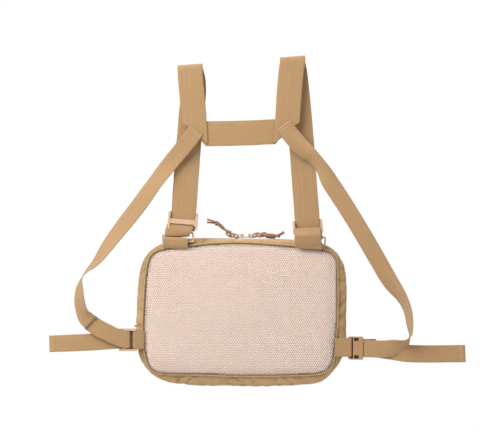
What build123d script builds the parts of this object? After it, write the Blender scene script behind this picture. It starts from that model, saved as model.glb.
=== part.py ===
"""Binocular harness pack: a small padded chest pack, its flap and zippers, and its webbing harness.

Millimetres. +X is the right-hand side seen from the wearer's side, +Y runs from the wearer to the front,
+Z is up. The origin is the middle of the bar that the two shoulder loops hang on.
"""

import os
from math import cos, radians, sin, tan

from build123d import *

# Webbing
WIDE = 38.0  # shoulder straps and yoke
NARROW = 25.0  # side straps
LEFT_TAB_WIDTH = 27.6
RIGHT_TAB_WIDTH = 28.6
WEB = 1.6  # thickness of all webbing
PLY_GAP = 0.2  # air between two plies that lie on each other
PLY = WEB + PLY_GAP

# Hanging loops
BAR_LEAN = 4.5  # degrees, the right end of the hanging bar is the higher one
FOLD_RADIUS = 6.1  # middle of the webbing round the bar
LOOP_X = (-78.7, 77.0)
SHOULDER_FRONT = -FOLD_RADIUS
SHOULDER_BACK = FOLD_RADIUS
YOKE_Y = SHOULDER_FRONT + PLY
SEWN_Y = SHOULDER_FRONT - PLY

# Pack
PACK_WIDTH = 322.0
PACK_TOP = -264.0
PACK_BOTTOM = -491.5
PACK_CORNER = 60.0
PACK_EDGE = 14.0  # rounding between the gusset and the two big faces
PANEL_Y = 3.0  # outer face of the mesh panel
MESH = 3.0
FOAM = 6.0
SHELL_Y = PANEL_Y + MESH + FOAM
SHELL_DEPTH = 66.0
FRONT_Y = SHELL_Y + SHELL_DEPTH
WALL = 2.5
BINDING = 1.2
PACK_HEIGHT = PACK_TOP - PACK_BOTTOM
PACK_MIDDLE = (PACK_TOP + PACK_BOTTOM) / 2

# Mesh panel outline: half widths and heights of its corners and of the crowns of its sides
PANEL_TOP = (146.0, -281.0)
PANEL_BOTTOM = (141.0, -467.0)
PANEL_CROWNS = (-271.6, 147.5, -473.5)  # top, side, bottom
PANEL_CORNER = 18.0

# Flap and main zipper
ZIP_Y = 45.0  # parting plane of the zipper
ZIP_SLOT = 6.0  # from the parting plane to the fabric's edge
TAPE = 10.0
COIL = 2.9
COIL_HEIGHT = 2.2
ZIP_GAP = 0.3
HINGE_Z = -402.0  # fold line of the flap, level with the ends of the zipper
FOLD_GAP = 0.4
FLAP_FOAM = (230.0, 100.0, 4.0)
FOAM_RISE = 12.0  # from the fold line to the foam
TAB_END = (7.0, 12.0, 2.0)  # folded tape over each end of the zipper
TAB_END_LEAN = radians(30)

# Zipper sliders
SLIDER_X = (0.4, 12.0)
SLIDER = 10.6
SLIDER_PLATE = 2.2
PIN_RADIUS = 0.8
PIN_RISE = 2.4  # above the slider's plate
PLATE_TOP = PACK_TOP - WALL + COIL_HEIGHT + 0.4 + SLIDER_PLATE
PULL_Z = PLATE_TOP + PIN_RISE
PULLER = (17.0, 5.0, 1.4)
LUG = (4.4, 1.4)
LUG_Y = 2.9  # from the parting plane to the middle of each lug
CORD = 4.5  # two strands side by side

# Front pocket
POCKET = (214.0, 82.0, 12.0)
POCKET_Z = -350.0
POCKET_ZIP_Z = -322.0
POCKET_CHAIN = (190.0, 9.0, 1.2)
POCKET_FACE = FRONT_Y + POCKET[2]
POCKET_SLIDER_X = -86.0
POCKET_SLIDER = (9.0, 8.0, 1.8)
POCKET_LUG = 2.9  # from the middle of the slider to each lug
POCKET_PIN = 3.7  # above the slider's underside
SLIDER_Y = POCKET_FACE + POCKET_CHAIN[2] + 0.4

# Adjusters and rings: x, z, lean
ADJUSTERS = ((-90.0, -237.0, -4.5), (100.4, -246.8, 4.2))
ADJUSTER_SIZE = ((45.2, 26.0), (45.2, 20.4))
RAIL = 3.3
# Rise and depth of the adjuster bar that has webbing sewn round it
SEWN_BAR = ((-9.6, SHOULDER_BACK + 4.5), (-4.8, SHOULDER_BACK - 4.5))
RINGS = ((-97.5, -264.0, 5.0), (103.6, -266.8, -3.0))
RING_SIZE = ((48.6, 16.0), (48.6, 14.0))
RING_BAR = 2.6
RING_Y = (8.8, 3.2)
# Sewn ends of the anchor webbing, near ply and far ply: height in the ring's frame, depth
ANCHOR_NEAR = ((-10.3, 5.9), (-8.2, 0.9))
ANCHOR_FAR = ((-10.2, 11.0), (-7.0, 6.7))
EYE = 2.3  # middle of webbing wrapped on a thin bar
RING_EYE = 2.9

# Left ladder lock and right buckle
TAB_Y = 6.0
TAB_FOOT = 149.4  # where the tabs are sewn to the edge of the panel
LEFT_TAB_Z = -418.5
RIGHT_TAB_Z = -429.8
LOCK_Z = -418.5
LOCK_HEIGHT = 34.0
LOCK_RAIL = 3.0
LOCK_WEB = (17.0, 9.6, 1.6)  # wall behind the slot: width, depth, thickness
LEFT_TAB_BAR = -163.3
LEFT_LOAD_BAR = -173.4
OUTER_BAR_REACH = 11.6
OUTER_BAR_RADIUS = 1.5
BUCKLE_Z = -431.0
BUCKLE_HEIGHT = 35.0
PLUG_HEIGHT = 27.8
PLUG_RAIL = 1.3
PLUG_RAILS = 19.0  # length of the plug's rails
SOCKET_LIP = (9.0, 9.2)  # wall behind the tab's bar: reach and depth
RIGHT_TAB_BAR = 165.0
SOCKET = (169.0, 184.6)
SOCKET_Y = (2.0, 10.0)
RIGHT_LOAD_BAR = 190.8
LOCK_BAR_Y = 4.6
PLUG_BAR_Y = 6.0
LOCK_X = (-187.4, -160.6)
SOCKET_LENGTH = SOCKET[1] - SOCKET[0]
SOCKET_MIDDLE = (SOCKET[0] + SOCKET[1]) / 2
SOCKET_DEPTH = SOCKET_Y[1] - SOCKET_Y[0]
CAVITY = (29.0, 5.0)
WINDOW = (7.0, 5.0)
PLUG_FACE = SOCKET[1] + 0.5
PRONG_REACH = 12.2

os.makedirs("parts", exist_ok=True)


def save(builder, name):
    """Label a finished piece and write its file."""
    builder.part.label = name
    export_step(builder.part, f"parts/{name}.step")


def facing(x, y, z, lean=0.0):
    """Plane that faces the wearer at depth y, leaning in itself. Extrude by a minus amount for +Y."""
    return Plane(origin=(x, y, z), x_dir=(cos(radians(lean)), 0, sin(radians(lean))), z_dir=(0, -1, 0))


def level(x, y, z):
    """Plane that looks up at height z, with X and Y as its own directions."""
    return Plane(origin=(x, y, z), x_dir=(1, 0, 0), z_dir=(0, 0, 1))


def turn(along, depth, radius, start, end, steps=6):
    """Pairs (along, depth) round a bar, from one angle to another in degrees."""
    angles = [radians(start + (end - start) * i / steps) for i in range(steps + 1)]
    return [(along + radius * cos(a), depth + radius * sin(a)) for a in angles]


def ribbon(width, stations):
    """Webbing lofted through stations, each a middle point and the direction across the strap."""
    points = [Vector(*point) for point, _ in stations]
    last = len(points) - 1
    sections = []
    for i, (_, across) in enumerate(stations):
        side = Vector(*across).normalized()
        back = points[i] - points[max(i - 1, 0)]
        ahead = points[min(i + 1, last)] - points[i]
        way = Vector(0, 0, 0)
        for step in (back, ahead):
            if step.length > 0:
                way = way + step.normalized()
        way = way - side * way.dot(side)
        with BuildSketch(Plane(origin=points[i], x_dir=side, z_dir=way.normalized())) as section:
            Rectangle(width, WEB)
        sections.append(section.sketch)
    loft(sections, ruled=True)


def hung(x, z, lean, pairs):
    """Stations of webbing that wraps bars along X: pairs are (height, depth) in a leaning frame."""
    tilt = radians(lean)
    across = (cos(tilt), 0, sin(tilt))
    return [((x - h * sin(tilt), y, z + h * cos(tilt)), across) for h, y in pairs]


def flat(z, pairs):
    """Stations of webbing that wraps upright bars: pairs are (x, depth)."""
    return [((x, y, z), (0, 0, 1)) for x, y in pairs]


def rolled(route):
    """Stations along (x, y, z, roll), where roll in degrees turns the strap's face away from -Y."""
    points = [Vector(x, y, z) for x, y, z, _ in route]
    stations = []
    for i, (x, y, z, roll) in enumerate(route):
        way = points[min(i + 1, len(points) - 1)] - points[max(i - 1, 0)]
        way = way.normalized()
        in_plane = Vector(0, 1, 0).cross(way).normalized()
        out = way.cross(in_plane).normalized()
        across = in_plane * cos(radians(roll)) + out * sin(radians(roll))
        stations.append(((x, y, z), tuple(across)))
    return stations


def cord(points, name):
    """Cord tube along straight runs with arcs as large as the runs allow."""
    vectors = [Vector(*p) for p in points]
    radii = []
    for a, b, c in zip(vectors, vectors[1:], vectors[2:]):
        half_turn = radians((b - a).get_angle(c - b)) / 2
        radii.append(0.45 * min((b - a).length, (c - b).length) / tan(half_turn))
    with BuildLine() as path:
        FilletPolyline(*points, radius=radii)
    with BuildSketch(path.line ^ 0) as section:
        Circle(CORD / 2)
    sweep(section.sketch, path=path.line)
    length = sum(edge.length for edge in path.edges())
    print(name, "length", round(length, 1), "radii", [round(r, 1) for r in radii])


def pack_form(inset):
    """Soft box of the pack, smaller by inset all round."""
    with BuildSketch(facing(0, SHELL_Y + inset, PACK_MIDDLE)) as outline:
        RectangleRounded(PACK_WIDTH - 2 * inset, PACK_HEIGHT - 2 * inset, PACK_CORNER - inset)
    extrude(outline.sketch, amount=-(SHELL_DEPTH - 2 * inset))
    big_faces = faces().filter_by(Axis.Y)
    fillet(big_faces.edges(), PACK_EDGE - inset)


def panel_outline(grow=0.0):
    """Outline of the mesh panel: four crowned sides with rounded corners, in world X and Z."""
    crown, side, floor = PANEL_CROWNS
    upper, lower = PANEL_TOP[0] + grow, PANEL_BOTTOM[0] + grow
    top, bottom = PANEL_TOP[1] + grow, PANEL_BOTTOM[1] - grow
    with BuildLine() as outline:
        ThreePointArc((-upper, top), (0, crown + grow), (upper, top))
        ThreePointArc((upper, top), (side + grow, PACK_MIDDLE), (lower, bottom))
        ThreePointArc((lower, bottom), (0, floor - grow), (-lower, bottom))
        ThreePointArc((-lower, bottom), (-side - grow, PACK_MIDDLE), (-upper, top))
    make_face(outline.edges())
    fillet(vertices(), PANEL_CORNER + grow)


# Pack ------------------------------------------------------------------------------------------------

with BuildPart() as back_mesh:
    with BuildSketch(facing(0, PANEL_Y, 0)):
        panel_outline()
    extrude(amount=-MESH)
save(back_mesh, "back_mesh")

with BuildPart() as back_foam:
    with BuildSketch(facing(0, PANEL_Y + MESH, 0)):
        panel_outline()
    extrude(amount=-FOAM)
save(back_foam, "back_foam")

with BuildPart() as panel_binding:
    with BuildSketch(facing(0, PANEL_Y, 0)):
        panel_outline(BINDING)
    extrude(amount=-(MESH + FOAM))
    with BuildSketch(facing(0, PANEL_Y, 0)):
        panel_outline()
    extrude(amount=-(MESH + FOAM), mode=Mode.SUBTRACT)
save(panel_binding, "panel_binding")

# The fabric shell is cut along an L: behind the zipper above the fold line, whole below it.
with BuildPart() as shell_core:
    pack_form(WALL)

with BuildPart() as pack_shell:
    pack_form(0)
    add(shell_core.part, mode=Mode.SUBTRACT)
    with BuildSketch(level(0, ZIP_Y - ZIP_SLOT, HINGE_Z)):
        Rectangle(PACK_WIDTH + 20, SHELL_DEPTH, align=(Align.CENTER, Align.MIN))
    extrude(amount=PACK_HEIGHT, mode=Mode.SUBTRACT)
save(pack_shell, "pack_shell")

with BuildPart() as flap_shell:
    pack_form(0)
    add(shell_core.part, mode=Mode.SUBTRACT)
    with BuildSketch(level(0, ZIP_Y + ZIP_SLOT, HINGE_Z + FOLD_GAP)):
        Rectangle(PACK_WIDTH + 20, SHELL_DEPTH, align=(Align.CENTER, Align.MIN))
    extrude(amount=PACK_HEIGHT, mode=Mode.INTERSECT)
save(flap_shell, "flap_shell")


def tape_ring(inset, thick):
    """Band that follows the shell's outline, for zipper tape and coil."""
    RectangleRounded(PACK_WIDTH - 2 * inset, PACK_HEIGHT - 2 * inset, PACK_CORNER - inset)
    inner = inset + thick
    RectangleRounded(
        PACK_WIDTH - 2 * inner, PACK_HEIGHT - 2 * inner, PACK_CORNER - inner, mode=Mode.SUBTRACT
    )


def zipper_half(y_tape, y_coil, floor):
    """Tape under the shell's edge with the coil standing on it, above the fold line only."""
    with BuildSketch(facing(0, y_tape, PACK_MIDDLE)) as tape:
        tape_ring(WALL, 1.0)
    extrude(tape.sketch, amount=-(TAPE - ZIP_GAP))
    with BuildSketch(facing(0, y_coil, PACK_MIDDLE)) as coil:
        tape_ring(WALL - COIL_HEIGHT, COIL_HEIGHT)
    extrude(coil.sketch, amount=-COIL)
    with BuildSketch(level(0, 0, floor)) as below:
        Rectangle(PACK_WIDTH + 20, 4 * SHELL_DEPTH)
    extrude(below.sketch, amount=-PACK_HEIGHT, mode=Mode.SUBTRACT)


with BuildPart() as rear_zipper:
    zipper_half(ZIP_Y - TAPE, ZIP_Y - ZIP_GAP - COIL, HINGE_Z)
save(rear_zipper, "rear_zipper")

with BuildPart() as front_zipper:
    zipper_half(ZIP_Y + ZIP_GAP, ZIP_Y + ZIP_GAP, HINGE_Z + FOLD_GAP)
save(front_zipper, "front_zipper")

with BuildPart() as flap_foam:
    with BuildSketch(facing(0, FRONT_Y - WALL - FLAP_FOAM[2], HINGE_Z + FLAP_FOAM[1] / 2 + FOAM_RISE)):
        RectangleRounded(FLAP_FOAM[0], FLAP_FOAM[1], 20)
    extrude(amount=-FLAP_FOAM[2])
save(flap_foam, "flap_foam")

# Zipper end tabs: a fold of tape over each end of the coil, standing out of the sides of the pack.
for side, name in ((-1, "zipper_end_left"), (1, "zipper_end_right")):
    with BuildPart() as end_tab:
        tab_plane = Plane(
            origin=(side * PACK_WIDTH / 2, ZIP_Y, HINGE_Z - 0.6),
            x_dir=(side * cos(TAB_END_LEAN), 0, sin(TAB_END_LEAN)),
            z_dir=(-side * sin(TAB_END_LEAN), 0, cos(TAB_END_LEAN)),
        )
        with BuildSketch(tab_plane):
            Rectangle(TAB_END[0], TAB_END[1], align=(Align.MIN, Align.CENTER))
        extrude(amount=-TAB_END[2])
        fillet(edges().filter_by(Axis.Y), 0.6)
    save(end_tab, name)

# Front pocket with its zipper ------------------------------------------------------------------------

with BuildPart() as front_pocket:
    with BuildSketch(facing(0, FRONT_Y, POCKET_Z)):
        RectangleRounded(POCKET[0], POCKET[1], 16)
    extrude(amount=-POCKET[2])
    fillet(faces().sort_by(Axis.Y)[-1].edges(), 6)
save(front_pocket, "front_pocket")

with BuildPart() as pocket_zipper:
    with BuildSketch(facing(0, POCKET_FACE, POCKET_ZIP_Z)):
        RectangleRounded(POCKET_CHAIN[0], POCKET_CHAIN[1], 2)
    extrude(amount=-POCKET_CHAIN[2])
save(pocket_zipper, "pocket_zipper")

with BuildPart() as pocket_slider:
    with BuildSketch(facing(POCKET_SLIDER_X, SLIDER_Y, POCKET_ZIP_Z)):
        RectangleRounded(POCKET_SLIDER[0], POCKET_SLIDER[1], 2)
    extrude(amount=-POCKET_SLIDER[2])
    for lug_x in (POCKET_SLIDER_X - POCKET_LUG, POCKET_SLIDER_X + POCKET_LUG):
        with BuildSketch(facing(lug_x, SLIDER_Y + POCKET_SLIDER[2], POCKET_ZIP_Z)):
            Rectangle(1.2, 4)
        extrude(amount=-3.4)
    pin_start = (POCKET_SLIDER_X - POCKET_LUG, SLIDER_Y + POCKET_PIN, POCKET_ZIP_Z)
    with BuildSketch(Plane(origin=pin_start, z_dir=(1, 0, 0))):
        Circle(PIN_RADIUS)
    extrude(amount=2 * POCKET_LUG)
save(pocket_slider, "pocket_slider")

with BuildPart() as pocket_puller:
    pull_side = Plane(
        origin=(POCKET_SLIDER_X - 1.8, SLIDER_Y + POCKET_PIN, POCKET_ZIP_Z),
        x_dir=(0, 1, 0),
        z_dir=(1, 0, 0),
    )
    with BuildSketch(pull_side):
        Circle(1.7)
        with Locations((0, -13)):
            Rectangle(1.6, 24)
        Circle(PIN_RADIUS + 0.1, mode=Mode.SUBTRACT)
    extrude(amount=3.6)
save(pocket_puller, "pocket_puller")

# Main zipper sliders, pullers and pull cords -----------------------------------------------------------

for side, x, name in ((-1, SLIDER_X[0], "left"), (1, SLIDER_X[1], "right")):
    with BuildPart() as slider:
        with BuildSketch(level(x, ZIP_Y, PLATE_TOP - SLIDER_PLATE)):
            RectangleRounded(SLIDER, 10.0, 2.0)
        extrude(amount=SLIDER_PLATE)
        # The underside is raised over the flap's coil, which lifts a little as the flap swings away.
        with BuildSketch(level(x, ZIP_Y + ZIP_GAP / 2, PLATE_TOP - SLIDER_PLATE)):
            Rectangle(SLIDER + 2, 8, align=(Align.CENTER, Align.MIN))
        extrude(amount=1.3, mode=Mode.SUBTRACT)
        for lug_y in (-LUG_Y, LUG_Y):
            with BuildSketch(level(x, ZIP_Y + lug_y, PLATE_TOP)):
                Rectangle(*LUG)
            extrude(amount=PIN_RISE + 2 * PIN_RADIUS)
        with BuildSketch(facing(x, ZIP_Y - LUG_Y, PULL_Z)):
            Circle(PIN_RADIUS)
        extrude(amount=-2 * LUG_Y)
    save(slider, f"zip_slider_{name}")

    with BuildPart() as puller:
        with BuildSketch(facing(x, ZIP_Y - 1.9, PULL_Z)):
            Circle(1.7)
            with Locations((side * PULLER[0] / 2, 0)):
                Rectangle(PULLER[0], PULLER[2])
            Circle(PIN_RADIUS + 0.1, mode=Mode.SUBTRACT)
        extrude(amount=-3.8)
        with BuildSketch(level(x + side * (PULLER[0] - 4.5), ZIP_Y, PULL_Z - PULLER[2] / 2)):
            RectangleRounded(9.0, PULLER[1] + 1.6, 2.0)
        extrude(amount=PULLER[2])
        with BuildSketch(level(x + side * (PULLER[0] - 3.4), ZIP_Y, PULL_Z - PULLER[2] / 2)):
            SlotOverall(4.0, 3.0)
        extrude(amount=PULLER[2], mode=Mode.SUBTRACT)
    save(puller, f"zip_puller_{name}")

LEFT_CORD = [(-17, 45, -256.5), (-25, 45, -252.5), (-35, 44.5, -243), (-45, 45, -238.5), (-54, 45.5, -237.5)]
with BuildPart() as pull_cord_left:
    cord(LEFT_CORD, "pull_cord_left")
save(pull_cord_left, "pull_cord_left")

with BuildPart() as pull_knot_left:
    with Locations((-38.5, 44.7, -241.2)):
        Sphere(4.6)
save(pull_knot_left, "pull_knot_left")

RIGHT_CORD = [(30.2, 45, -257.2), (37, 44.7, -259), (46, 45, -259.2), (56, 45.4, -257.8), (65, 45, -253.5)]
with BuildPart() as pull_cord_right:
    cord(RIGHT_CORD, "pull_cord_right")
save(pull_cord_right, "pull_cord_right")

with BuildPart() as pull_sleeve_right:
    with BuildSketch(Plane(origin=(38.5, 44.8, -259.1), z_dir=(1, 0, 0))):
        Ellipse(3.6, 3.3)
    extrude(amount=13)
save(pull_sleeve_right, "pull_sleeve_right")

# Harness -----------------------------------------------------------------------------------------------

def bar_height(x):
    """Height of the hanging bar's axis at x."""
    return x * tan(radians(BAR_LEAN))


def shoulder_strap(front, back, loop_x, ring, wrap):
    """Strap from its sewn front end, over the bar, down through the adjuster and round the ring."""
    stations = [((x, SHOULDER_FRONT, z), (cos(tilt), 0, sin(tilt))) for x, z, tilt in front]
    stations += hung(loop_x, bar_height(loop_x), BAR_LEAN, turn(0, 0, FOLD_RADIUS, -90, 90))
    stations += [((x, SHOULDER_BACK, z), (cos(tilt), 0, sin(tilt))) for x, z, tilt in back]
    stations += hung(ring[0], ring[1], ring[2], wrap)
    ribbon(WIDE, stations)


def ring_bar(side):
    """Height of a ring's upper bar above the ring's middle."""
    return RING_SIZE[side][1] / 2 - RING_BAR / 2


left_up = ring_bar(0)
right_up = ring_bar(1)

# The end of each front ply is cut on the slant of the side strap that is sewn on it.
with BuildPart() as shoulder_strap_left:
    shoulder_strap(
        front=[(-66.8, -124.0, radians(4.5)), (-75.5, -44.0, radians(4.5))],
        back=[
            (-75.8, -45.0, radians(1.0)),
            (-80.8, -117.0, radians(-4.0)),
            (-86.0, -184.0, radians(-4.5)),
            (-91.2, -250.4, radians(-3.0)),
        ],
        loop_x=LOOP_X[0],
        ring=RINGS[0],
        wrap=turn(left_up, RING_Y[0], RING_EYE, 270, 90) + [(left_up + 1.2, RING_Y[0] + RING_EYE)],
    )
    with BuildSketch(facing(0, SHOULDER_FRONT - 3, 0)):
        with BuildLine():
            Polyline((-100, -78.5), (-40, -128.9), (-40, -150), (-100, -150), close=True)
        make_face()
    extrude(amount=-6, mode=Mode.SUBTRACT)
save(shoulder_strap_left, "shoulder_strap_left")

with BuildPart() as shoulder_strap_right:
    shoulder_strap(
        front=[(62.6, -124.0, radians(-6.0)), (70.0, -44.0, radians(-4.0))],
        back=[
            (84.0, -45.0, radians(5.0)),
            (90.7, -117.0, radians(4.2)),
            (95.6, -184.0, radians(4.2)),
            (101.2, -256.4, radians(1.0)),
        ],
        loop_x=LOOP_X[1],
        ring=RINGS[1],
        wrap=turn(right_up, RING_Y[1], RING_EYE, 90, 270) + [(right_up + 1.4, RING_Y[1] - RING_EYE)],
    )
    with BuildSketch(facing(0, SHOULDER_FRONT - 3, 0)):
        with BuildLine():
            Polyline((100, -70.5), (38, -132.5), (38, -150), (100, -150), close=True)
        make_face()
    extrude(amount=-6, mode=Mode.SUBTRACT)
save(shoulder_strap_right, "shoulder_strap_right")

with BuildPart() as yoke:
    yoke_across = (-sin(radians(1.5)), 0, cos(radians(1.5)))
    ribbon(
        WIDE,
        [
            ((-84.0, YOKE_Y, -105.4), yoke_across),
            ((-50.0, YOKE_Y, -104.6), yoke_across),
            ((-2.0, YOKE_Y, -103.6), yoke_across),
            ((46.0, YOKE_Y, -102.4), yoke_across),
            ((78.0, YOKE_Y, -101.6), yoke_across),
        ],
    )
save(yoke, "yoke")

LEFT_ROUTE = [
    (-68.5, SEWN_Y, -99.5, 0),
    (-80.0, SEWN_Y, -114.6, 0),
    (-109.0, -10.0, -152.6, 12),
    (-154.4, -12.0, -211.6, 22),
    (-196.8, -12.0, -266.1, 34),
    (-224.0, -11.0, -302.0, 52),
    (-238.0, -10.0, -324.0, 66),
    (-244.6, -9.0, -342.0, 68),
    (-244.4, -8.0, -359.0, 52),
    (-238.8, -5.5, -376.0, 28),
    (-230.0, -2.4, -389.5, 8),
    (-219.0, -0.6, -398.5, 0),
]
with BuildPart() as side_strap_left:
    ribbon(NARROW, rolled(LEFT_ROUTE))
save(side_strap_left, "side_strap_left")

RIGHT_ROUTE = [
    (62.1, SEWN_Y, -91.5, 0),
    (76.0, SEWN_Y, -109.5, 0),
    (92.0, -8.6, -129.5, 6),
    (115.1, -10.0, -155.0, 14),
    (144.0, -12.0, -195.0, 24),
    (172.6, -13.0, -240.4, 30),
    (203.0, -13.0, -290.0, 36),
    (225.0, -12.0, -328.0, 46),
    (240.2, -10.0, -357.0, 62),
    (248.8, -8.0, -380.0, 78),
    (252.0, -6.0, -399.0, 86),
]
with BuildPart() as side_strap_right:
    ribbon(NARROW, rolled(RIGHT_ROUTE))
save(side_strap_right, "side_strap_right")


# Each lower strap comes down to its buckle, goes over the load bar and leaves as a free tail behind itself.
LEFT_STRAND = [
    (-232.6, -6.6, -390.6, 6),
    (-226.0, -5.3, -395.2, 0),
    (-216.0, -3.6, -401.0, 0),
    (-203.0, -1.9, -407.6, 0),
    (-190.0, -0.7, -413.6, 0),
]
LEFT_TAIL = [(-200.0, 1.8, -418.5), (-228.0, 1.8, -417.1), (-262.0, 1.2, -418.6), (-293.0, 1.8, -422.6)]
with BuildPart() as lower_strap_left:
    over_bar = turn(LEFT_LOAD_BAR, LOCK_BAR_Y, EYE, 270, 450)
    ribbon(
        NARROW,
        rolled(LEFT_STRAND)
        + flat(-418.4, [(-181.0, 0.6)])
        + flat(-418.8, over_bar + [(-180.2, 4.3), (-185.8, 2.0)])
        + [((x, y, z), (0, 0, 1)) for x, y, z in LEFT_TAIL],
    )
save(lower_strap_left, "lower_strap_left")

RIGHT_STRAND = [
    (252.3, -6.0, -400.6, 86),
    (250.6, -5.0, -410.0, 66),
    (245.0, -3.4, -418.6, 40),
    (236.0, -2.0, -425.0, 20),
    (224.0, -0.6, -429.0, 8),
    (211.0, 0.6, -430.6, 0),
]
RIGHT_TAIL = [
    (214.0, 2.6, -432.1),
    (236.0, 1.6, -433.4),
    (268.0, 0.6, -435.8),
    (306.0, 0.6, -437.4),
    (341.0, 1.8, -438.6),
]
with BuildPart() as lower_strap_right:
    over_bar = turn(RIGHT_LOAD_BAR, PLUG_BAR_Y, EYE, 270, 90)
    ribbon(
        NARROW,
        rolled(RIGHT_STRAND)
        + flat(-431.0, [(200.0, 1.6)] + over_bar + [(197.8, 5.7), (203.2, 3.3)])
        + [((x, y, z), (0, 0, 1)) for x, y, z in RIGHT_TAIL],
    )
save(lower_strap_right, "lower_strap_right")

# Adjusters, rings and the webbing on them ----------------------------------------------------------------

def adjuster_rails(spot, size, front_y, back_y):
    """The two side rails of an adjuster."""
    x, z, lean = spot
    width, height = size
    with BuildSketch(facing(x, front_y, z, lean)) as rails:
        for side in (-1, 1):
            with Locations((side * (width - RAIL) / 2, 0)):
                RectangleRounded(RAIL, height, 1.2)
    extrude(rails.sketch, amount=-(back_y - front_y))


def cross_bar(spot, size, rise, y, height, depth):
    """A flat bar between the rails, rise above the middle."""
    x, z, lean = spot
    with BuildSketch(facing(x, y, z, lean)) as bar:
        with Locations((0, rise)):
            Rectangle(size[0] - RAIL, height)
    extrude(bar.sketch, amount=-depth)


def round_bar(spot, size, rise, y):
    """A round bar between the rails for sewn webbing."""
    x, z, lean = spot
    tilt = radians(lean)
    reach = (size[0] - RAIL) / 2
    start = (x - rise * sin(tilt) - reach * cos(tilt), y, z + rise * cos(tilt) - reach * sin(tilt))
    with BuildSketch(Plane(origin=start, z_dir=(cos(tilt), 0, sin(tilt)))) as bar:
        Circle(1.3)
    extrude(bar.sketch, amount=2 * reach)


with BuildPart() as adjuster_left:
    adjuster_rails(ADJUSTERS[0], ADJUSTER_SIZE[0], SHOULDER_BACK - 4.2, SHOULDER_BACK + 6.0)
    cross_bar(ADJUSTERS[0], ADJUSTER_SIZE[0], 11.2, SHOULDER_BACK + 1.3, 3.4, 2.6)
    cross_bar(ADJUSTERS[0], ADJUSTER_SIZE[0], -1.4, SHOULDER_BACK - 3.8, 7.4, 2.5)
    round_bar(ADJUSTERS[0], ADJUSTER_SIZE[0], *SEWN_BAR[0])
save(adjuster_left, "adjuster_left")

with BuildPart() as adjuster_right:
    adjuster_rails(ADJUSTERS[1], ADJUSTER_SIZE[1], SHOULDER_BACK - 6.0, SHOULDER_BACK + 4.0)
    cross_bar(ADJUSTERS[1], ADJUSTER_SIZE[1], 9.2, SHOULDER_BACK + 1.3, 3.2, 2.5)
    cross_bar(ADJUSTERS[1], ADJUSTER_SIZE[1], -9.2, SHOULDER_BACK + 1.3, 3.2, 2.5)
    round_bar(ADJUSTERS[1], ADJUSTER_SIZE[1], *SEWN_BAR[1])
save(adjuster_right, "adjuster_right")

left_rise, left_depth = SEWN_BAR[0]
with BuildPart() as strap_end_left:
    ribbon(
        WIDE,
        hung(
            *ADJUSTERS[0],
            [(left_rise - 5.6, left_depth + 1.9), (left_rise - 2.9, left_depth + EYE)]
            + turn(left_rise, left_depth, EYE, 90, -80)
            + [(left_rise - 2.4, left_depth - 1.9), (left_rise - 4.0, left_depth - 1.1)],
        ),
    )
save(strap_end_left, "strap_end_left")

right_rise, right_depth = SEWN_BAR[1]
with BuildPart() as strap_end_right:
    ribbon(
        WIDE,
        hung(
            *ADJUSTERS[1],
            [(right_rise - 4.8, right_depth - EYE + 0.4), (right_rise - 3.0, right_depth - EYE)]
            + turn(right_rise, right_depth, EYE, -90, 80)
            + [(right_rise - 2.2, right_depth + 1.6), (right_rise - 3.4, right_depth + 1.2)],
        ),
    )
save(strap_end_right, "strap_end_right")

for side, name in ((0, "left"), (1, "right")):
    ring_y = RING_Y[side]
    x, z, lean = RINGS[side]
    width, height = RING_SIZE[side]
    with BuildPart() as ring:
        with BuildSketch(facing(x, ring_y - RING_BAR / 2, z, lean)):
            RectangleRounded(width, height, 3.0)
            RectangleRounded(width - 2 * RING_BAR, height - 2 * RING_BAR, 1.0, mode=Mode.SUBTRACT)
        extrude(amount=-RING_BAR)
        fillet(edges().filter_by(GeomType.LINE).group_by(Axis.Y)[0], 0.5)
    save(ring, f"ring_{name}")

    over_bar = turn(-ring_bar(side), ring_y, RING_EYE, -90, 90)
    with BuildPart() as anchor:
        ribbon(WIDE - 1, hung(x, z, lean, [ANCHOR_NEAR[side]] + over_bar + [ANCHOR_FAR[side]]))
    save(anchor, f"anchor_loop_{name}")

# Side tabs, ladder lock and buckle ---------------------------------------------------------------------------

with BuildPart() as side_tab_left:
    over_bar = turn(LEFT_TAB_BAR, TAB_Y, EYE, 270, 90)
    ribbon(LEFT_TAB_WIDTH, flat(LEFT_TAB_Z, [(-TAB_FOOT, 5.0)] + over_bar + [(-TAB_FOOT, 8.6)]))
save(side_tab_left, "side_tab_left")

with BuildPart() as side_tab_right:
    over_bar = turn(RIGHT_TAB_BAR, TAB_Y, EYE, -90, 90)
    ribbon(RIGHT_TAB_WIDTH, flat(RIGHT_TAB_Z, [(TAB_FOOT, 5.0)] + over_bar + [(TAB_FOOT, 8.6)]))
save(side_tab_right, "side_tab_right")


def upright_bar(x, y, z, height, radius=1.3):
    """A round bar along Z between two rails."""
    with BuildSketch(level(x, y, z - height / 2)) as bar:
        Circle(radius)
    extrude(bar.sketch, amount=height)


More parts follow.
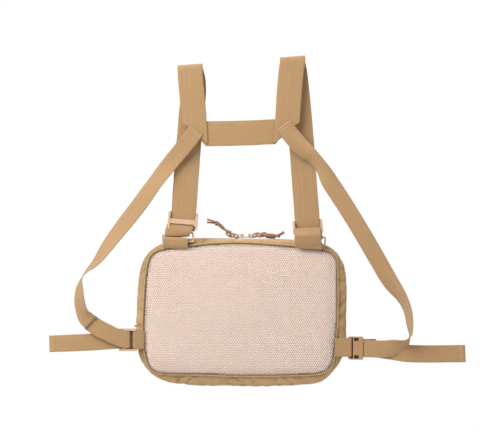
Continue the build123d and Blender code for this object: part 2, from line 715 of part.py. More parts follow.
with BuildPart() as ladder_lock_left:
    with BuildSketch(facing(0, LOCK_BAR_Y - 2.2, LOCK_Z)):
        for side in (-1, 1):
            with Locations(((LOCK_X[0] + LOCK_X[1]) / 2, side * (LOCK_HEIGHT - LOCK_RAIL) / 2)):
                RectangleRounded(LOCK_X[1] - LOCK_X[0], LOCK_RAIL, 1.0)
    extrude(amount=-(LOCK_WEB[1] + LOCK_WEB[2] - LOCK_BAR_Y + 2.2))
    with BuildSketch(facing(LOCK_X[1], LOCK_WEB[1], LOCK_Z)):
        Rectangle(LOCK_WEB[0], LOCK_HEIGHT - 2.0, align=(Align.MAX, Align.CENTER))
    extrude(amount=-LOCK_WEB[2])
    upright_bar(LEFT_TAB_BAR, TAB_Y, LOCK_Z, LOCK_HEIGHT - LOCK_RAIL)
    upright_bar(LEFT_LOAD_BAR, LOCK_BAR_Y, LOCK_Z, LOCK_HEIGHT - LOCK_RAIL)
    outer_bar = LEFT_LOAD_BAR - OUTER_BAR_REACH
    upright_bar(outer_bar, LOCK_BAR_Y + 0.6, LOCK_Z, LOCK_HEIGHT - LOCK_RAIL, OUTER_BAR_RADIUS)
save(ladder_lock_left, "ladder_lock_left")

with BuildPart() as buckle_socket:
    with BuildSketch(facing(SOCKET_MIDDLE, SOCKET_Y[0], BUCKLE_Z)):
        RectangleRounded(SOCKET_LENGTH, BUCKLE_HEIGHT, 2.5)
    extrude(amount=-SOCKET_DEPTH)
    fillet(edges().filter_by(GeomType.LINE).filter_by(Axis.Z), 1.2)
    with BuildSketch(facing(SOCKET[0] + 2.0, TAB_Y - CAVITY[1] / 2, BUCKLE_Z)):
        Rectangle(SOCKET_LENGTH, CAVITY[0], align=(Align.MIN, Align.CENTER))
    extrude(amount=-CAVITY[1], mode=Mode.SUBTRACT)
    with BuildSketch(facing(SOCKET[0] + 5.2, SOCKET_Y[0] - 1, BUCKLE_Z)):
        for side in (-1, 1):
            with Locations((0, side * (BUCKLE_HEIGHT / 2 - 4.4))):
                Rectangle(WINDOW[0], WINDOW[1])
    extrude(amount=-(TAB_Y - SOCKET_Y[0] + 1), mode=Mode.SUBTRACT)
    with BuildSketch(facing(RIGHT_TAB_BAR + 1.8, TAB_Y - 1.9, BUCKLE_Z)):
        for side in (-1, 1):
            with Locations((0, side * (BUCKLE_HEIGHT / 2 - 0.9))):
                Rectangle(6.4, 1.8)
    extrude(amount=-3.8)
    upright_bar(RIGHT_TAB_BAR, TAB_Y, BUCKLE_Z, BUCKLE_HEIGHT - 1.0)
    with BuildSketch(facing(SOCKET[0] + 2.0, SOCKET_LIP[1], BUCKLE_Z)):
        Rectangle(SOCKET_LIP[0], BUCKLE_HEIGHT - 3.0, align=(Align.MAX, Align.CENTER))
    extrude(amount=-(SOCKET_Y[1] - SOCKET_LIP[1]))
save(buckle_socket, "buckle_socket")

with BuildPart() as buckle_plug:
    with BuildSketch(facing(PLUG_FACE, PLUG_BAR_Y - 2.6, BUCKLE_Z)):
        Rectangle(2.0, PLUG_HEIGHT, align=(Align.MIN, Align.CENTER))
        for side in (-1, 1):
            with Locations((0, side * (PLUG_HEIGHT - PLUG_RAIL) / 2)):
                Rectangle(PLUG_RAILS, PLUG_RAIL, align=(Align.MIN, Align.CENTER))
    extrude(amount=-5.6)
    upright_bar(RIGHT_LOAD_BAR, PLUG_BAR_Y, BUCKLE_Z, PLUG_HEIGHT - PLUG_RAIL)
    outer_bar = RIGHT_LOAD_BAR + OUTER_BAR_REACH
    upright_bar(outer_bar, PLUG_BAR_Y + 0.6, BUCKLE_Z, PLUG_HEIGHT - PLUG_RAIL, OUTER_BAR_RADIUS)
    # Guide tongue between the prongs
    with BuildSketch(facing(PLUG_FACE, PLUG_BAR_Y - 1.4, BUCKLE_Z)):
        Rectangle(11.0, 5.0, align=(Align.MAX, Align.CENTER))
    extrude(amount=-2.8)
save(buckle_plug, "buckle_plug")

for side, name in ((1, "upper"), (-1, "lower")):
    with BuildPart() as prong:
        with BuildSketch(facing(PLUG_FACE - 0.3, PLUG_BAR_Y - 1.9, BUCKLE_Z)):
            with BuildLine():
                Polyline(
                    (0, side * 8.6),
                    (0, side * 11.4),
                    (-PRONG_REACH + 6.6, side * 12.2),
                    (-PRONG_REACH + 5.6, side * 14.0),
                    (-PRONG_REACH, side * 11.4),
                    (-PRONG_REACH, side * 9.4),
                    close=True,
                )
            make_face()
        extrude(amount=-3.8)
    save(prong, f"buckle_prong_{name}")
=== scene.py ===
"""Binocular harness pack: soft goods, webbing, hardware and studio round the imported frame."""

import math
from bisect import bisect_left

import bmesh
import bpy
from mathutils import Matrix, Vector, noise
from mathutils.bvhtree import BVHTree


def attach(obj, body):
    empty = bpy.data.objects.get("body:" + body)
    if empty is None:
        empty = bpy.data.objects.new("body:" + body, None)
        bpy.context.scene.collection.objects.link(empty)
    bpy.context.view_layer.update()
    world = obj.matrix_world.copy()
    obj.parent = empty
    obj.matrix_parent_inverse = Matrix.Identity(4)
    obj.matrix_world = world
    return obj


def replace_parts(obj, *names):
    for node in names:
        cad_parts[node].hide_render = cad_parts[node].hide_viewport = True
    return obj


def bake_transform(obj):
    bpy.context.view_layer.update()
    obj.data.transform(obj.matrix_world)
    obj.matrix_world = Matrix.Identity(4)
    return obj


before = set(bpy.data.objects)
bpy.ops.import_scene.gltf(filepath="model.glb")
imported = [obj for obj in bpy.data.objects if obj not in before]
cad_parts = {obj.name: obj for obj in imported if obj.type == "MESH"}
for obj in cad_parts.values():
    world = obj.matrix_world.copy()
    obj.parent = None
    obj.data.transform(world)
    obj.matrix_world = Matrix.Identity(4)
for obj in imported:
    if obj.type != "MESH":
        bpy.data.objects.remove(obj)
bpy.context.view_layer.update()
MM = 0.001


def smooth(t):
    t = max(0.0, min(1.0, t))
    return t * t * (3 - 2 * t)


def mix(a, b, t):
    return a + (b - a) * t


def srgb(r, g, b):
    """Linear colour from 0-255 display values."""
    parts = (c / 255 for c in (r, g, b))
    return tuple(c / 12.92 if c <= 0.04045 else ((c + 0.055) / 1.055) ** 2.4 for c in parts)


def shade(tone, factor):
    return tuple(min(1, c * factor) for c in tone)


# Camera and light ----------

camera_data = bpy.data.cameras.new("camera")
camera_data.lens = 108.55
camera_data.sensor_width = 36
camera_data.clip_end = 50
camera = bpy.data.objects.new("camera", camera_data)
camera.location = (-0.003, -2.2, -0.2298)
camera.rotation_euler = (math.radians(90), 0, 0)
bpy.context.collection.objects.link(camera)
bpy.context.scene.camera = camera
bpy.context.scene.view_settings.view_transform = "Standard"

MIDDLE = (0.0, 0.03, -0.28)  # what the lamps look at


def area_light(name, place, size, power, colour=(1, 1, 1)):
    data = bpy.data.lights.new(name, "AREA")
    data.shape = "DISK"
    data.size = size
    data.energy = power
    data.color = colour
    lamp = bpy.data.objects.new(name, data)
    lamp.location = place
    lamp.rotation_euler = (Vector(MIDDLE) - Vector(place)).to_track_quat("-Z", "Y").to_euler()
    bpy.context.collection.objects.link(lamp)


area_light("key", (-0.95, -1.0, 0.78), 1.5, 32)
area_light("fill", (2.4, -0.85, 0.15), 1.2, 10.5, (1.0, 0.90, 0.84))
area_light("rim", (0.3, 1.7, 1.2), 1.2, 16)

# The air is brighter overhead than underfoot, and the camera sees a plain white backdrop
SKY_HEIGHTS = (-0.75, 0.8)
SKY_STRENGTHS = (0.10, 0.57)
world = bpy.data.worlds.new("studio")
bpy.context.scene.world = world
world.use_nodes = True
air = world.node_tree
sky = air.nodes["Background"]
sky.inputs["Color"].default_value = (1, 1, 1, 1)
way_up = air.nodes.new("ShaderNodeSeparateXYZ")
air.links.new(air.nodes.new("ShaderNodeTexCoord").outputs["Generated"], way_up.inputs[0])
level = air.nodes.new("ShaderNodeMapRange")
for socket, item in zip(level.inputs[1:5], SKY_HEIGHTS + SKY_STRENGTHS):
    socket.default_value = item
air.links.new(way_up.outputs["Z"], level.inputs[0])
air.links.new(level.outputs[0], sky.inputs["Strength"])
backdrop = air.nodes.new("ShaderNodeBackground")
backdrop.inputs["Color"].default_value = (1, 1, 1, 1)
backdrop.inputs["Strength"].default_value = 1.0
either = air.nodes.new("ShaderNodeMixShader")
air.links.new(air.nodes.new("ShaderNodeLightPath").outputs["Is Camera Ray"], either.inputs[0])
air.links.new(sky.outputs[0], either.inputs[1])
air.links.new(backdrop.outputs[0], either.inputs[2])
air.links.new(either.outputs[0], air.nodes["World Output"].inputs[0])


# Materials ----------


class Paint:
    """A procedural material: a few shorthand calls round its node tree."""

    def __init__(self, name, roughness, sheen=0.0, metallic=0.0, specular=0.3):
        self.material = bpy.data.materials.new(name)
        self.material.use_nodes = True
        self.tree = self.material.node_tree
        self.shader = self.tree.nodes["Principled BSDF"]
        self.shader.inputs["Roughness"].default_value = roughness
        self.shader.inputs["Metallic"].default_value = metallic
        self.shader.inputs["Specular IOR Level"].default_value = specular
        self.shader.inputs["Sheen Weight"].default_value = sheen
        self.shader.inputs["Sheen Roughness"].default_value = 0.6
        self.place = self.tree.nodes.new("ShaderNodeTexCoord").outputs["Object"]

    def feed(self, socket, value):
        if isinstance(value, bpy.types.NodeSocket):
            self.tree.links.new(value, socket)
        else:
            socket.default_value = value

    def add(self, kind, **inputs):
        made = self.tree.nodes.new(kind)
        for key, value in inputs.items():
            self.feed(made.inputs[key], value)
        return made

    def chain(self, kind, values, operation=None):
        """A node fed by position: its outputs."""
        made = self.tree.nodes.new(kind)
        if operation:
            made.operation = operation
        for socket, value in zip(made.inputs, values):
            self.feed(socket, value)
        return made.outputs

    def math(self, operation, a, b=0.0, c=0.0):
        return self.chain("ShaderNodeMath", (a, b, c), operation)[0]

    def split(self, vector):
        return self.chain("ShaderNodeSeparateXYZ", (vector,))

    def scaled(self, vector, factors):
        return self.chain("ShaderNodeVectorMath", (vector, factors), "MULTIPLY")[0]

    def band(self, value, low, high, out_low, out_high):
        return self.chain("ShaderNodeMapRange", (value, low, high, out_low, out_high))[0]

    def strap_place(self):
        """Across and along the strap, in metres."""
        made = self.tree.nodes.new("ShaderNodeUVMap")
        made.uv_map = "strap"
        return made.outputs[0]

    def noise(self, vector, scale, detail=2.0):
        return self.add("ShaderNodeTexNoise", Vector=vector, Scale=scale, Detail=detail).outputs["Fac"]

    def ridges(self, value):
        """0 to 1 humps, one for each whole step of the value."""
        return self.math("ABSOLUTE", self.math("SINE", self.math("MULTIPLY", value, math.pi)))

    def waves(self, value, period):
        """0 to 1 wave of that period in metres."""
        angle = self.math("MULTIPLY", value, 2 * math.pi / period)
        return self.math("MULTIPLY_ADD", self.math("SINE", angle), 0.5, 0.5)

    def blend(self, amount, a, b, kind="MIX"):
        made = self.add("ShaderNodeMix")
        made.data_type = "RGBA"
        made.blend_type = kind
        self.feed(made.inputs["Factor"], amount)
        for key, value in (("A", a), ("B", b)):
            socket = [s for s in made.inputs if s.name == key and s.type == "RGBA"][0]
            self.feed(socket, value if isinstance(value, bpy.types.NodeSocket) else (*value, 1.0))
        return [s for s in made.outputs if s.type == "RGBA"][0]

    def layer(self, face, value, low, high, share, tone):
        """Lays tone over face, up to that share, as value goes from low to high."""
        return self.blend(self.band(value, low, high, 0.0, share), face, tone)

    def colour(self, value, crevice_shade=0.0, reach=5.0):
        """Base colour with painted shade: darker by the share given after value in crevices narrower than reach
        millimetres.
        """
        if crevice_shade:
            # Painted shade: ambient occlusion darkens the base colour in crevices and warms it as it darkens
            crevice = self.add("ShaderNodeAmbientOcclusion", Distance=reach * MM)
            crevice.samples = 6
            share = self.band(crevice.outputs["AO"], 0.25, 0.85, 1 - crevice_shade, 1.0)
            powers = (1.0, 1.12, 1.3)  # crevices go warmer as they darken
            tint = self.chain("ShaderNodeCombineColor", [self.math("POWER", share, p) for p in powers])
            value = self.blend(1.0, value, tint[0], "MULTIPLY")
        self.feed(self.shader.inputs["Base Color"], value)

    def bump(self, *layers):
        """Bump layers, each a height socket, a distance in millimetres and a strength."""
        normal = None
        for height, distance, strength in layers:
            made = self.add("ShaderNodeBump", Height=height, Distance=distance * MM, Strength=strength)
            if normal is not None:
                self.tree.links.new(normal, made.inputs["Normal"])
            normal = made.outputs[0]
        self.tree.links.new(normal, self.shader.inputs["Normal"])

    def rough(self, value, low, high, out_low, out_high):
        self.feed(self.shader.inputs["Roughness"], self.band(value, low, high, out_low, out_high))


COLUMN, WEFT = 0.0015, 0.0013  # pitch of the webbing's yarn across and along


def webbing_paint(name, tone, width):
    """Ribbed nylon webbing: columns of yarn along it, crossed by a fine weft, with a firmer selvedge."""
    paint = Paint(name, 0.72, sheen=0.25)
    place = paint.strap_place()
    across, along, _ = paint.split(place)
    column = paint.math("DIVIDE", across, COLUMN)
    odd = paint.math("MODULO", paint.math("FLOOR", column), 2.0)
    step = paint.math("ADD", paint.math("DIVIDE", along, WEFT), paint.math("MULTIPLY", odd, 0.5))
    yarn = paint.math("POWER", paint.ridges(column), 0.6)
    height = paint.math("MULTIPLY", yarn, paint.math("MULTIPLY_ADD", paint.ridges(step), 0.45, 0.55))
    streak = paint.noise(paint.scaled(place, (520, 5, 1)), 1.0)
    cloud = paint.noise(paint.place, 26, 3.0)
    fuzz = paint.noise(paint.place, 1500)
    light = shade(tone, 1.10)
    # Painted shade: the low parts of the weave, between yarns and under the weft, darken to 55 % of the tone
    face = paint.layer(shade(tone, 0.55), height, 0.15, 0.75, 1.0, tone)
    face = paint.layer(face, streak, 0.35, 0.72, 0.5, light)
    face = paint.layer(face, streak, 0.5, 0.3, 0.45, shade(tone, 0.8))
    face = paint.layer(face, cloud, 0.38, 0.68, 0.4, shade(tone, 0.88))
    reach = paint.math("ABSOLUTE", across)
    face = paint.layer(face, reach, width / 2 - 0.0022, width / 2 - 0.0010, 0.30, shade(tone, 0.8))
    # Painted shade: up to 28 % darker in crevices narrower than 3 mm
    paint.colour(paint.layer(face, fuzz, 0.3, 0.75, 0.16, light), 0.28, 3.0)
    paint.rough(fuzz, 0.3, 0.7, 0.66, 0.84)
    paint.bump((cloud, 0.5, 0.3), (height, 0.22, 0.6), (fuzz, 0.12, 0.5))
    return paint.material


def cloth_paint(name, tone, period=0.00105, roughness=0.8, wear=0.35):
    """Plain-woven pack cloth, with slubs, soft blotches and a little wear in patches."""
    paint = Paint(name, roughness, sheen=0.2)
    wx, wy, wz = (paint.waves(axis, period) for axis in paint.split(paint.place))
    cross = paint.math("ADD", paint.math("MULTIPLY", wx, wz), paint.math("MULTIPLY", wy, wz))
    cross = paint.math("MULTIPLY_ADD", wx, wy, cross)
    slub = paint.noise(paint.scaled(paint.place, (90, 90, 900)), 1.0)
    cloud = paint.noise(paint.place, 22, 4.0)
    grain = paint.noise(paint.place, 1900)
    # Painted shade: the low parts of the weave darken to 80 % of the tone
    face = paint.layer(shade(tone, 0.80), cross, 0.1, 1.3, 1.0, tone)
    face = paint.layer(face, slub, 0.42, 0.7, 0.4, shade(tone, 1.12))
    face = paint.layer(face, cloud, 0.42, 0.62, wear, shade(tone, 0.84))
    # Painted shade: up to 42 % darker in crevices narrower than 4 mm
    paint.colour(paint.layer(face, grain, 0.35, 0.7, 0.15, shade(tone, 1.2)), 0.42, 4.0)
    paint.rough(cloud, 0.3, 0.7, roughness - 0.08, roughness + 0.08)
    paint.bump((cloud, 0.8, 0.25), (cross, 0.22, 0.6), (grain, 0.08, 0.4))
    return paint.material


def knit_paint(name, tone, dim):
    """Spacer-mesh yarn."""
    paint = Paint(name, 0.85, sheen=0.35)
    cloud = paint.noise(paint.place, 14, 3.0)
    yarn = paint.noise(paint.place, 1400, 3.0)
    face = paint.layer(tone, yarn, 0.3, 0.7, 0.5, dim)
    paint.colour(paint.layer(face, cloud, 0.35, 0.7, 0.25, shade(tone, 0.9)))
    paint.bump((yarn, 0.15, 0.6))
    return paint.material


def plastic_paint(name, tone, roughness=0.5):
    """Moulded plastic with a fine spark-eroded grain and faint flow marks."""
    paint = Paint(name, roughness, specular=0.45)
    grain = paint.noise(paint.place, 2600, 3.0)
    flow = paint.noise(paint.scaled(paint.place, (30, 30, 160)), 1.0, 3.0)
    face = paint.layer(tone, flow, 0.35, 0.7, 0.3, shade(tone, 0.86))
    # Painted shade: darker by up to 75 % in crevices narrower than 6 mm, such as the buckle slots
    paint.colour(paint.layer(face, grain, 0.4, 0.75, 0.2, shade(tone, 1.15)), 0.75, 6.0)
    paint.rough(grain, 0.3, 0.7, roughness - 0.08, roughness + 0.1)
    paint.bump((grain, 0.06, 0.45), (flow, 0.2, 0.2))
    return paint.material


def metal_paint(name, tone, roughness=0.42):
    """Coated zinc, rubbed brighter in patches."""
    paint = Paint(name, roughness, metallic=0.75, specular=0.5)
    rub = paint.noise(paint.place, 420, 4.0)
    paint.colour(paint.layer(tone, rub, 0.45, 0.7, 0.7, shade(tone, 1.6)))
    paint.rough(rub, 0.3, 0.7, roughness + 0.1, roughness - 0.1)
    paint.bump((paint.noise(paint.place, 3000), 0.05, 0.4))
    return paint.material


def braid_paint(name, tone):
    """Braided cord: two sets of yarn that wind opposite ways."""
    paint = Paint(name, 0.75, sheen=0.3)
    around, along, _ = paint.split(paint.strap_place())
    one, two = (paint.waves(paint.math(way, around, along), 0.0011) for way in ("ADD", "SUBTRACT"))
    plait = paint.math("MAXIMUM", one, two)
    grain = paint.noise(paint.place, 2400)
    # Painted shade: the gaps between the yarns darken to 60 % of the tone
    face = paint.layer(shade(tone, 0.6), plait, 0.3, 1.0, 1.0, tone)
    paint.colour(paint.layer(face, grain, 0.35, 0.7, 0.3, shade(tone, 1.25)))
    paint.bump((plait, 0.25, 0.8), (grain, 0.08, 0.5))
    return paint.material


TAN = srgb(190, 151, 105)
WIDE_WEB = webbing_paint("webbing_wide", TAN, 0.038)
NARROW_WEB = webbing_paint("webbing_narrow", TAN, 0.025)
TAB_WEB = webbing_paint("webbing_tab", srgb(184, 146, 102), 0.028)
SHELL = cloth_paint("pack_cloth", srgb(207, 169, 120))
TAPE_CLOTH = cloth_paint("tape_cloth", srgb(188, 150, 108), 0.0008)
LINING = cloth_paint("lining_cloth", srgb(176, 142, 104), 0.0008, 0.7)
NET = knit_paint("mesh_yarn", srgb(255, 241, 229), srgb(248, 228, 214))
# The core's own colour, toned darker than the net yarn so that the eyes of the net look shaded: partly painted shade
SPACER = knit_paint("mesh_core", srgb(214, 172, 154), srgb(196, 154, 136))
PLASTIC = plastic_paint("moulded_tan", srgb(224, 186, 152))
BUCKLE_PLASTIC = plastic_paint("moulded_buckle", srgb(186, 146, 108))
METAL = metal_paint("coated_zinc", srgb(226, 196, 176))
CORD = braid_paint("braided_cord", srgb(198, 152, 112))
SLEEVE = braid_paint("wrapped_sleeve", srgb(166, 122, 86))
COIL = plastic_paint("zip_coil", srgb(150, 116, 84), 0.45)
THREAD = braid_paint("sewing_thread", srgb(255, 232, 200))
DARK_THREAD = braid_paint("seam_thread", srgb(120, 88, 62))
# Dark seam cord: a real seam, darkened to stand in for the shadow line along it (painted shade)
SEAM_SHADE_CORD = braid_paint("seam_shade_cord", srgb(144, 108, 76))
FLOOR = Paint("studio_floor", 0.9)
patches = FLOOR.noise(FLOOR.place, 2.0)
FLOOR.colour(FLOOR.layer(srgb(247, 246, 244), patches, 0.3, 0.7, 1, srgb(252, 251, 250)))
FLOOR.bump((FLOOR.noise(FLOOR.place, 300), 0.3, 0.1))


# Mesh helpers ----------


def settle(obj, soft=True):
    """Outward normals and smooth shading."""
    work = bmesh.new()
    work.from_mesh(obj.data)
    bmesh.ops.recalc_face_normals(work, faces=work.faces)
    for face in work.faces:
        face.smooth = soft
    work.to_mesh(obj.data)
    work.free()


def new_object(name, vertices, faces, material, body, uvs=None, soft=True):
    """Mesh object from points in millimetres."""
    mesh = bpy.data.meshes.new(name)
    mesh.from_pydata([tuple(c * MM for c in v) for v in vertices], [], faces)
    mesh.validate()
    if uvs is not None:
        layer = mesh.uv_layers.new(name="strap")
        for loop in mesh.loops:
            layer.data[loop.index].uv = uvs[loop.vertex_index]
    mesh.materials.append(material)
    obj = bpy.data.objects.new(name, mesh)
    bpy.context.collection.objects.link(obj)
    settle(obj, soft)
    if body:
        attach(obj, body)
    return obj


def apply_modifiers(obj):
    bpy.context.view_layer.update()
    made = bpy.data.meshes.new_from_object(obj.evaluated_get(bpy.context.evaluated_depsgraph_get()))
    obj.modifiers.clear()
    obj.data = made


def loft(rings, around, base=0, wrap=False):
    """Faces that join rings of points one after another, and back to the first ring if wrap is set."""
    faces = []
    for i in range(rings if wrap else rings - 1):
        here, there = base + i * around, base + (i + 1) % rings * around
        for k in range(around):
            n = (k + 1) % around
            faces.append((here + k, here + n, there + n, there + k))
    return faces


def closed_loft(rings, around, base=0):
    """The same with a face over the first and the last ring."""
    last = base + (rings - 1) * around
    ends = [tuple(base + k for k in reversed(range(around))), tuple(last + k for k in range(around))]
    return loft(rings, around, base) + ends


def run_lengths(points):
    """The length run up to each point."""
    lengths = [0.0]
    for a, b in zip(points, points[1:]):
        lengths.append(lengths[-1] + math.dist(a, b))
    return lengths


def locate(lengths, run):
    """Which stretch a length run falls in, and how far along that stretch."""
    index = min(bisect_left(lengths, run, 1), len(lengths) - 1) - 1
    return index, (run - lengths[index]) / max(1e-9, lengths[index + 1] - lengths[index])


def spline(points, step):
    """Catmull-Rom through points (tuples of any length), with places about one step apart by the first three."""
    out = []
    last = len(points) - 1
    for i in range(last):
        p0, p1, p2, p3 = (points[max(0, min(last, k))] for k in (i - 1, i, i + 1, i + 2))
        length = math.dist(p1[:3], p2[:3])
        count = max(1, round(length / step))
        d0 = max(1e-6, math.dist(p0[:3], p1[:3])) ** 0.5
        d1 = max(1e-6, length) ** 0.5
        d2 = max(1e-6, math.dist(p2[:3], p3[:3])) ** 0.5
        for j in range(count):
            t = j / count
            row = []
            for a, b, c, d in zip(p0, p1, p2, p3):
                leave = (c - b) if i == 0 else (c - b) + d1 * ((b - a) / d0 - (c - a) / (d0 + d1))
                reach = (c - b) if i == last - 1 else (c - b) + d1 * ((d - c) / d2 - (d - b) / (d1 + d2))
                ends = (2 * t**3 - 3 * t**2 + 1) * b + (t**3 - 2 * t**2 + t) * leave
                row.append(ends + (-2 * t**3 + 3 * t**2) * c + (t**3 - t**2) * reach)
            out.append(tuple(row))
    out.append(tuple(points[last]))
    return out


WEB = 1.6  # thickness of webbing
FRAMES = {}  # by strap: its middle, across, outward and length run at each row


def strap_frames(rows):
    frames = []
    run = 0.0
    for i, row in enumerate(rows):
        point = Vector(row[:3])
        way = (Vector(rows[min(len(rows) - 1, i + 1)][:3]) - Vector(rows[max(0, i - 1)][:3])).normalized()
        across = Vector(row[3:6])
        across = (across - way * across.dot(way)).normalized()
        if i:
            run += (point - Vector(rows[i - 1][:3])).length
        frames.append((point, across, way.cross(across).normalized(), run))
    return frames


def strap(
    name, stations, width, material, body, nodes,
    step=3.0, seed=0.0, wave=0.25, thick=WEB, slant=(0, 0),
):
    """Webbing through stations (x, y, z, across x, across y, across z), in place of those CAD nodes.

    slant cuts the two ends aslant: how far each cut runs along the strap from one edge to the other.
    """
    frames = FRAMES[name] = strap_frames(spline(stations, step))
    half = width / 2
    lip = thick / 2
    spread = [-half, -half + 0.13 * lip, -half + 0.5 * lip, -half + lip]
    spread += [mix(-half + lip, half - lip, k / 8) for k in range(1, 8)]
    spread += [half - lip, half - 0.5 * lip, half - 0.13 * lip, half]
    ring = []
    for u in spread:
        edge = max(0.0, abs(u) - (half - lip)) / lip
        ring.append((u, lip * math.sqrt(max(0.0, 1 - edge * edge))))
    ring += [(u, -h) for u, h in reversed(ring[1:-1])]
    vertices, uvs = [], []
    for point, across, out, run in frames:
        for u, h in ring:
            drift = wave * noise.noise(Vector((run * 0.035 + seed, 0.3 * (1 if u > 0 else -1), seed)))
            lift = 0.35 * wave * noise.noise(Vector((run * 0.05, u * 0.08, seed + 7)))
            shift = 0.0
            for cut, rest, toward in ((slant[0], run, 1), (slant[1], frames[-1][3] - run, -1)):
                if cut:
                    edge = u / width + (0.5 if cut > 0 else -0.5)
                    shift += toward * cut * edge * (1 - smooth(rest / abs(3 * cut)))
            side = across * (u + drift * u / half)
            back = out.cross(across).normalized() * -shift
            vertices.append(point + side + out * (h + lift) + back)
            uvs.append((u * MM, (run + shift) * MM))
    obj = new_object(name, vertices, closed_loft(len(frames), len(ring)), material, body, uvs)
    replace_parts(obj, *nodes.split())
    return obj


def at(frames, run, u, lift=0.0):
    """Point on a strap: run along it, u across it, lift off its middle."""
    run = max(0.0, min(frames[-1][3], run))
    for a, b in zip(frames, frames[1:]):
        if run <= b[3]:
            t = 0 if b[3] == a[3] else (run - a[3]) / (b[3] - a[3])
            return a[0].lerp(b[0], t) + a[1].lerp(b[1], t) * u + a[2].lerp(b[2], t) * lift
    return frames[-1][0]


def six_round():
    """Angles of a six-sided section."""
    return [corner * math.pi / 3 for corner in range(6)]


# One stitch: share of its length, rise off the cloth and share of its radius
STITCH = ((0.0, -0.25, 0.25), (0.18, 0.1, 0.85), (0.5, 0.22, 1.0), (0.82, 0.1, 0.85), (1.0, -0.25, 0.25))


def thread(name, lines, body, material, pitch=2.6, gap=0.7, radius=0.36):
    """Stitches: short capsules of thread along each line of (point, outward) pairs."""
    vertices, faces, uvs = [], [], []
    for line in lines:
        lengths = run_lengths([spot for spot, _ in line])
        count = max(1, int(lengths[-1] / pitch))
        for k in range(count):
            ends = []
            for run in (k * lengths[-1] / count + gap / 2, (k + 1) * lengths[-1] / count - gap / 2):
                i, t = locate(lengths, run)
                ends.append((Vector(line[i][0]).lerp(Vector(line[i + 1][0]), t), Vector(line[i][1])))
            (start, out), (end, _) = ends
            out = out.normalized()
            side = (end - start).normalized().cross(out).normalized()
            faces += closed_loft(len(STITCH), 6, len(vertices))
            for t, rise, fat in STITCH:
                middle = start.lerp(end, t) + out * rise
                for angle in six_round():
                    vertices.append(middle + (side * math.cos(angle) + out * math.sin(angle)) * radius * fat)
                    uvs.append((radius * angle * MM, t * (end - start).length * MM))
    return new_object(name, vertices, faces, material, body, uvs)


def tube(name, paths, radius, material, body, sides=10):
    """Round tubes along lists of points, as one mesh. radius is a number or a function of the share of the way."""
    vertices, faces, uvs = [], [], []
    for path in paths:
        points = [Vector(p) for p in path]
        normal = Vector((0, 1, 0.01))
        run = 0.0
        base = len(vertices)
        last = len(points) - 1
        for i, point in enumerate(points):
            way = (points[min(last, i + 1)] - points[max(0, i - 1)]).normalized()
            normal = (normal - way * normal.dot(way)).normalized()
            side = way.cross(normal)
            if i:
                run += (point - points[i - 1]).length
            size = radius(i / last) if callable(radius) else radius
            for k in range(sides):
                angle = 2 * math.pi * k / sides
                vertices.append(point + (side * math.cos(angle) + normal * math.sin(angle)) * size)
                uvs.append((angle * size * MM, run * MM))
        faces += loft(last + 1, sides, base)
        for tip, start, order in ((0, base, -1), (last, base + last * sides, 1)):
            for k in range(sides):
                pair = (start + k, start + (k + 1) % sides)[::order]
                faces.append((*pair, len(vertices)))
            vertices.append(points[tip])
            uvs.append((0, run * MM))
    return new_object(name, vertices, faces, material, body, uvs)


# Pull cords ----------

LEFT_ROUTE = [(-17, 45, -256.5), (-25, 45, -252.5), (-35, 44.5, -243), (-45, 45, -238.5), (-54, 45.5, -237.5)]
RIGHT_ROUTE = [(30.2, 45, -257.2), (37, 44.7, -260.8), (46, 45, -261.8), (57, 45.4, -260.4), (65.4, 45, -254.6)]


def centreline(route):
    """Points along the smooth NURBS line of a cord's route, in metres."""
    data = bpy.data.curves.new("route", "CURVE")
    data.dimensions = "3D"
    line = data.splines.new("NURBS")
    line.points.add(len(route) - 1)
    for spot, point in zip(line.points, route):
        spot.co = (*(c * MM for c in point), 1)
    line.order_u = 3
    line.use_endpoint_u = True
    data.resolution_u = 16
    holder = bpy.data.objects.new("route", data)
    mesh = bpy.data.meshes.new_from_object(holder)
    points = [v.co.copy() for v in mesh.vertices]
    bpy.data.objects.remove(holder)
    return points


def twisted(points, turns, apart, parting, flare):
    """Two strands wound round a centreline, which spread by flare past the share parting of the way."""
    strands = []
    last = len(points) - 1
    for phase in (0.0, math.pi):
        strand = []
        for i, point in enumerate(points):
            share = i / last
            way = (points[min(last, i + 1)] - points[max(0, i - 1)]).normalized()
            first = way.cross(Vector((0, 1, 0))).normalized()
            second = way.cross(first)
            angle = phase + turns * 2 * math.pi * min(share, parting)
            wide = apart + flare * smooth((share - parting) / max(0.01, 1 - parting))
            strand.append((point / MM) + (first * math.cos(angle) + second * math.sin(angle)) * wide)
        strands.append(strand)
    return strands


def leaned(centre, x, y, z, tilt):
    """A point off centre, turned by tilt in the plane of the wearer's back."""
    x, z = x * math.cos(tilt) - z * math.sin(tilt), x * math.sin(tilt) + z * math.cos(tilt)
    return (centre[0] + x, centre[1] + y, centre[2] + z)


def ring_path(centre, size, tilt, wobble):
    """A closed loop of cord as a path."""
    angles = [2 * math.pi * k / 20 for k in range(21)]
    return [
        leaned(centre, size[0] * math.cos(a), wobble * math.sin(a * 1.5), size[1] * math.sin(a), tilt) for a in angles
    ]


def knot_path(centre, size, tilt):
    """An overhand knot, pulled snug."""
    path = []
    for k in range(65):
        a = 2 * math.pi * k / 64
        x = size * (math.sin(a) + 2 * math.sin(2 * a)) / 2.2
        z = size * (math.cos(a) - 2 * math.cos(2 * a)) / 2.8
        path.append(leaned(centre, x, -size * math.sin(3 * a) * 0.55, z, tilt))
    return path


def cord_tube(name, paths, radius, side):
    return tube(name, paths, radius, CORD, "pull_" + side)


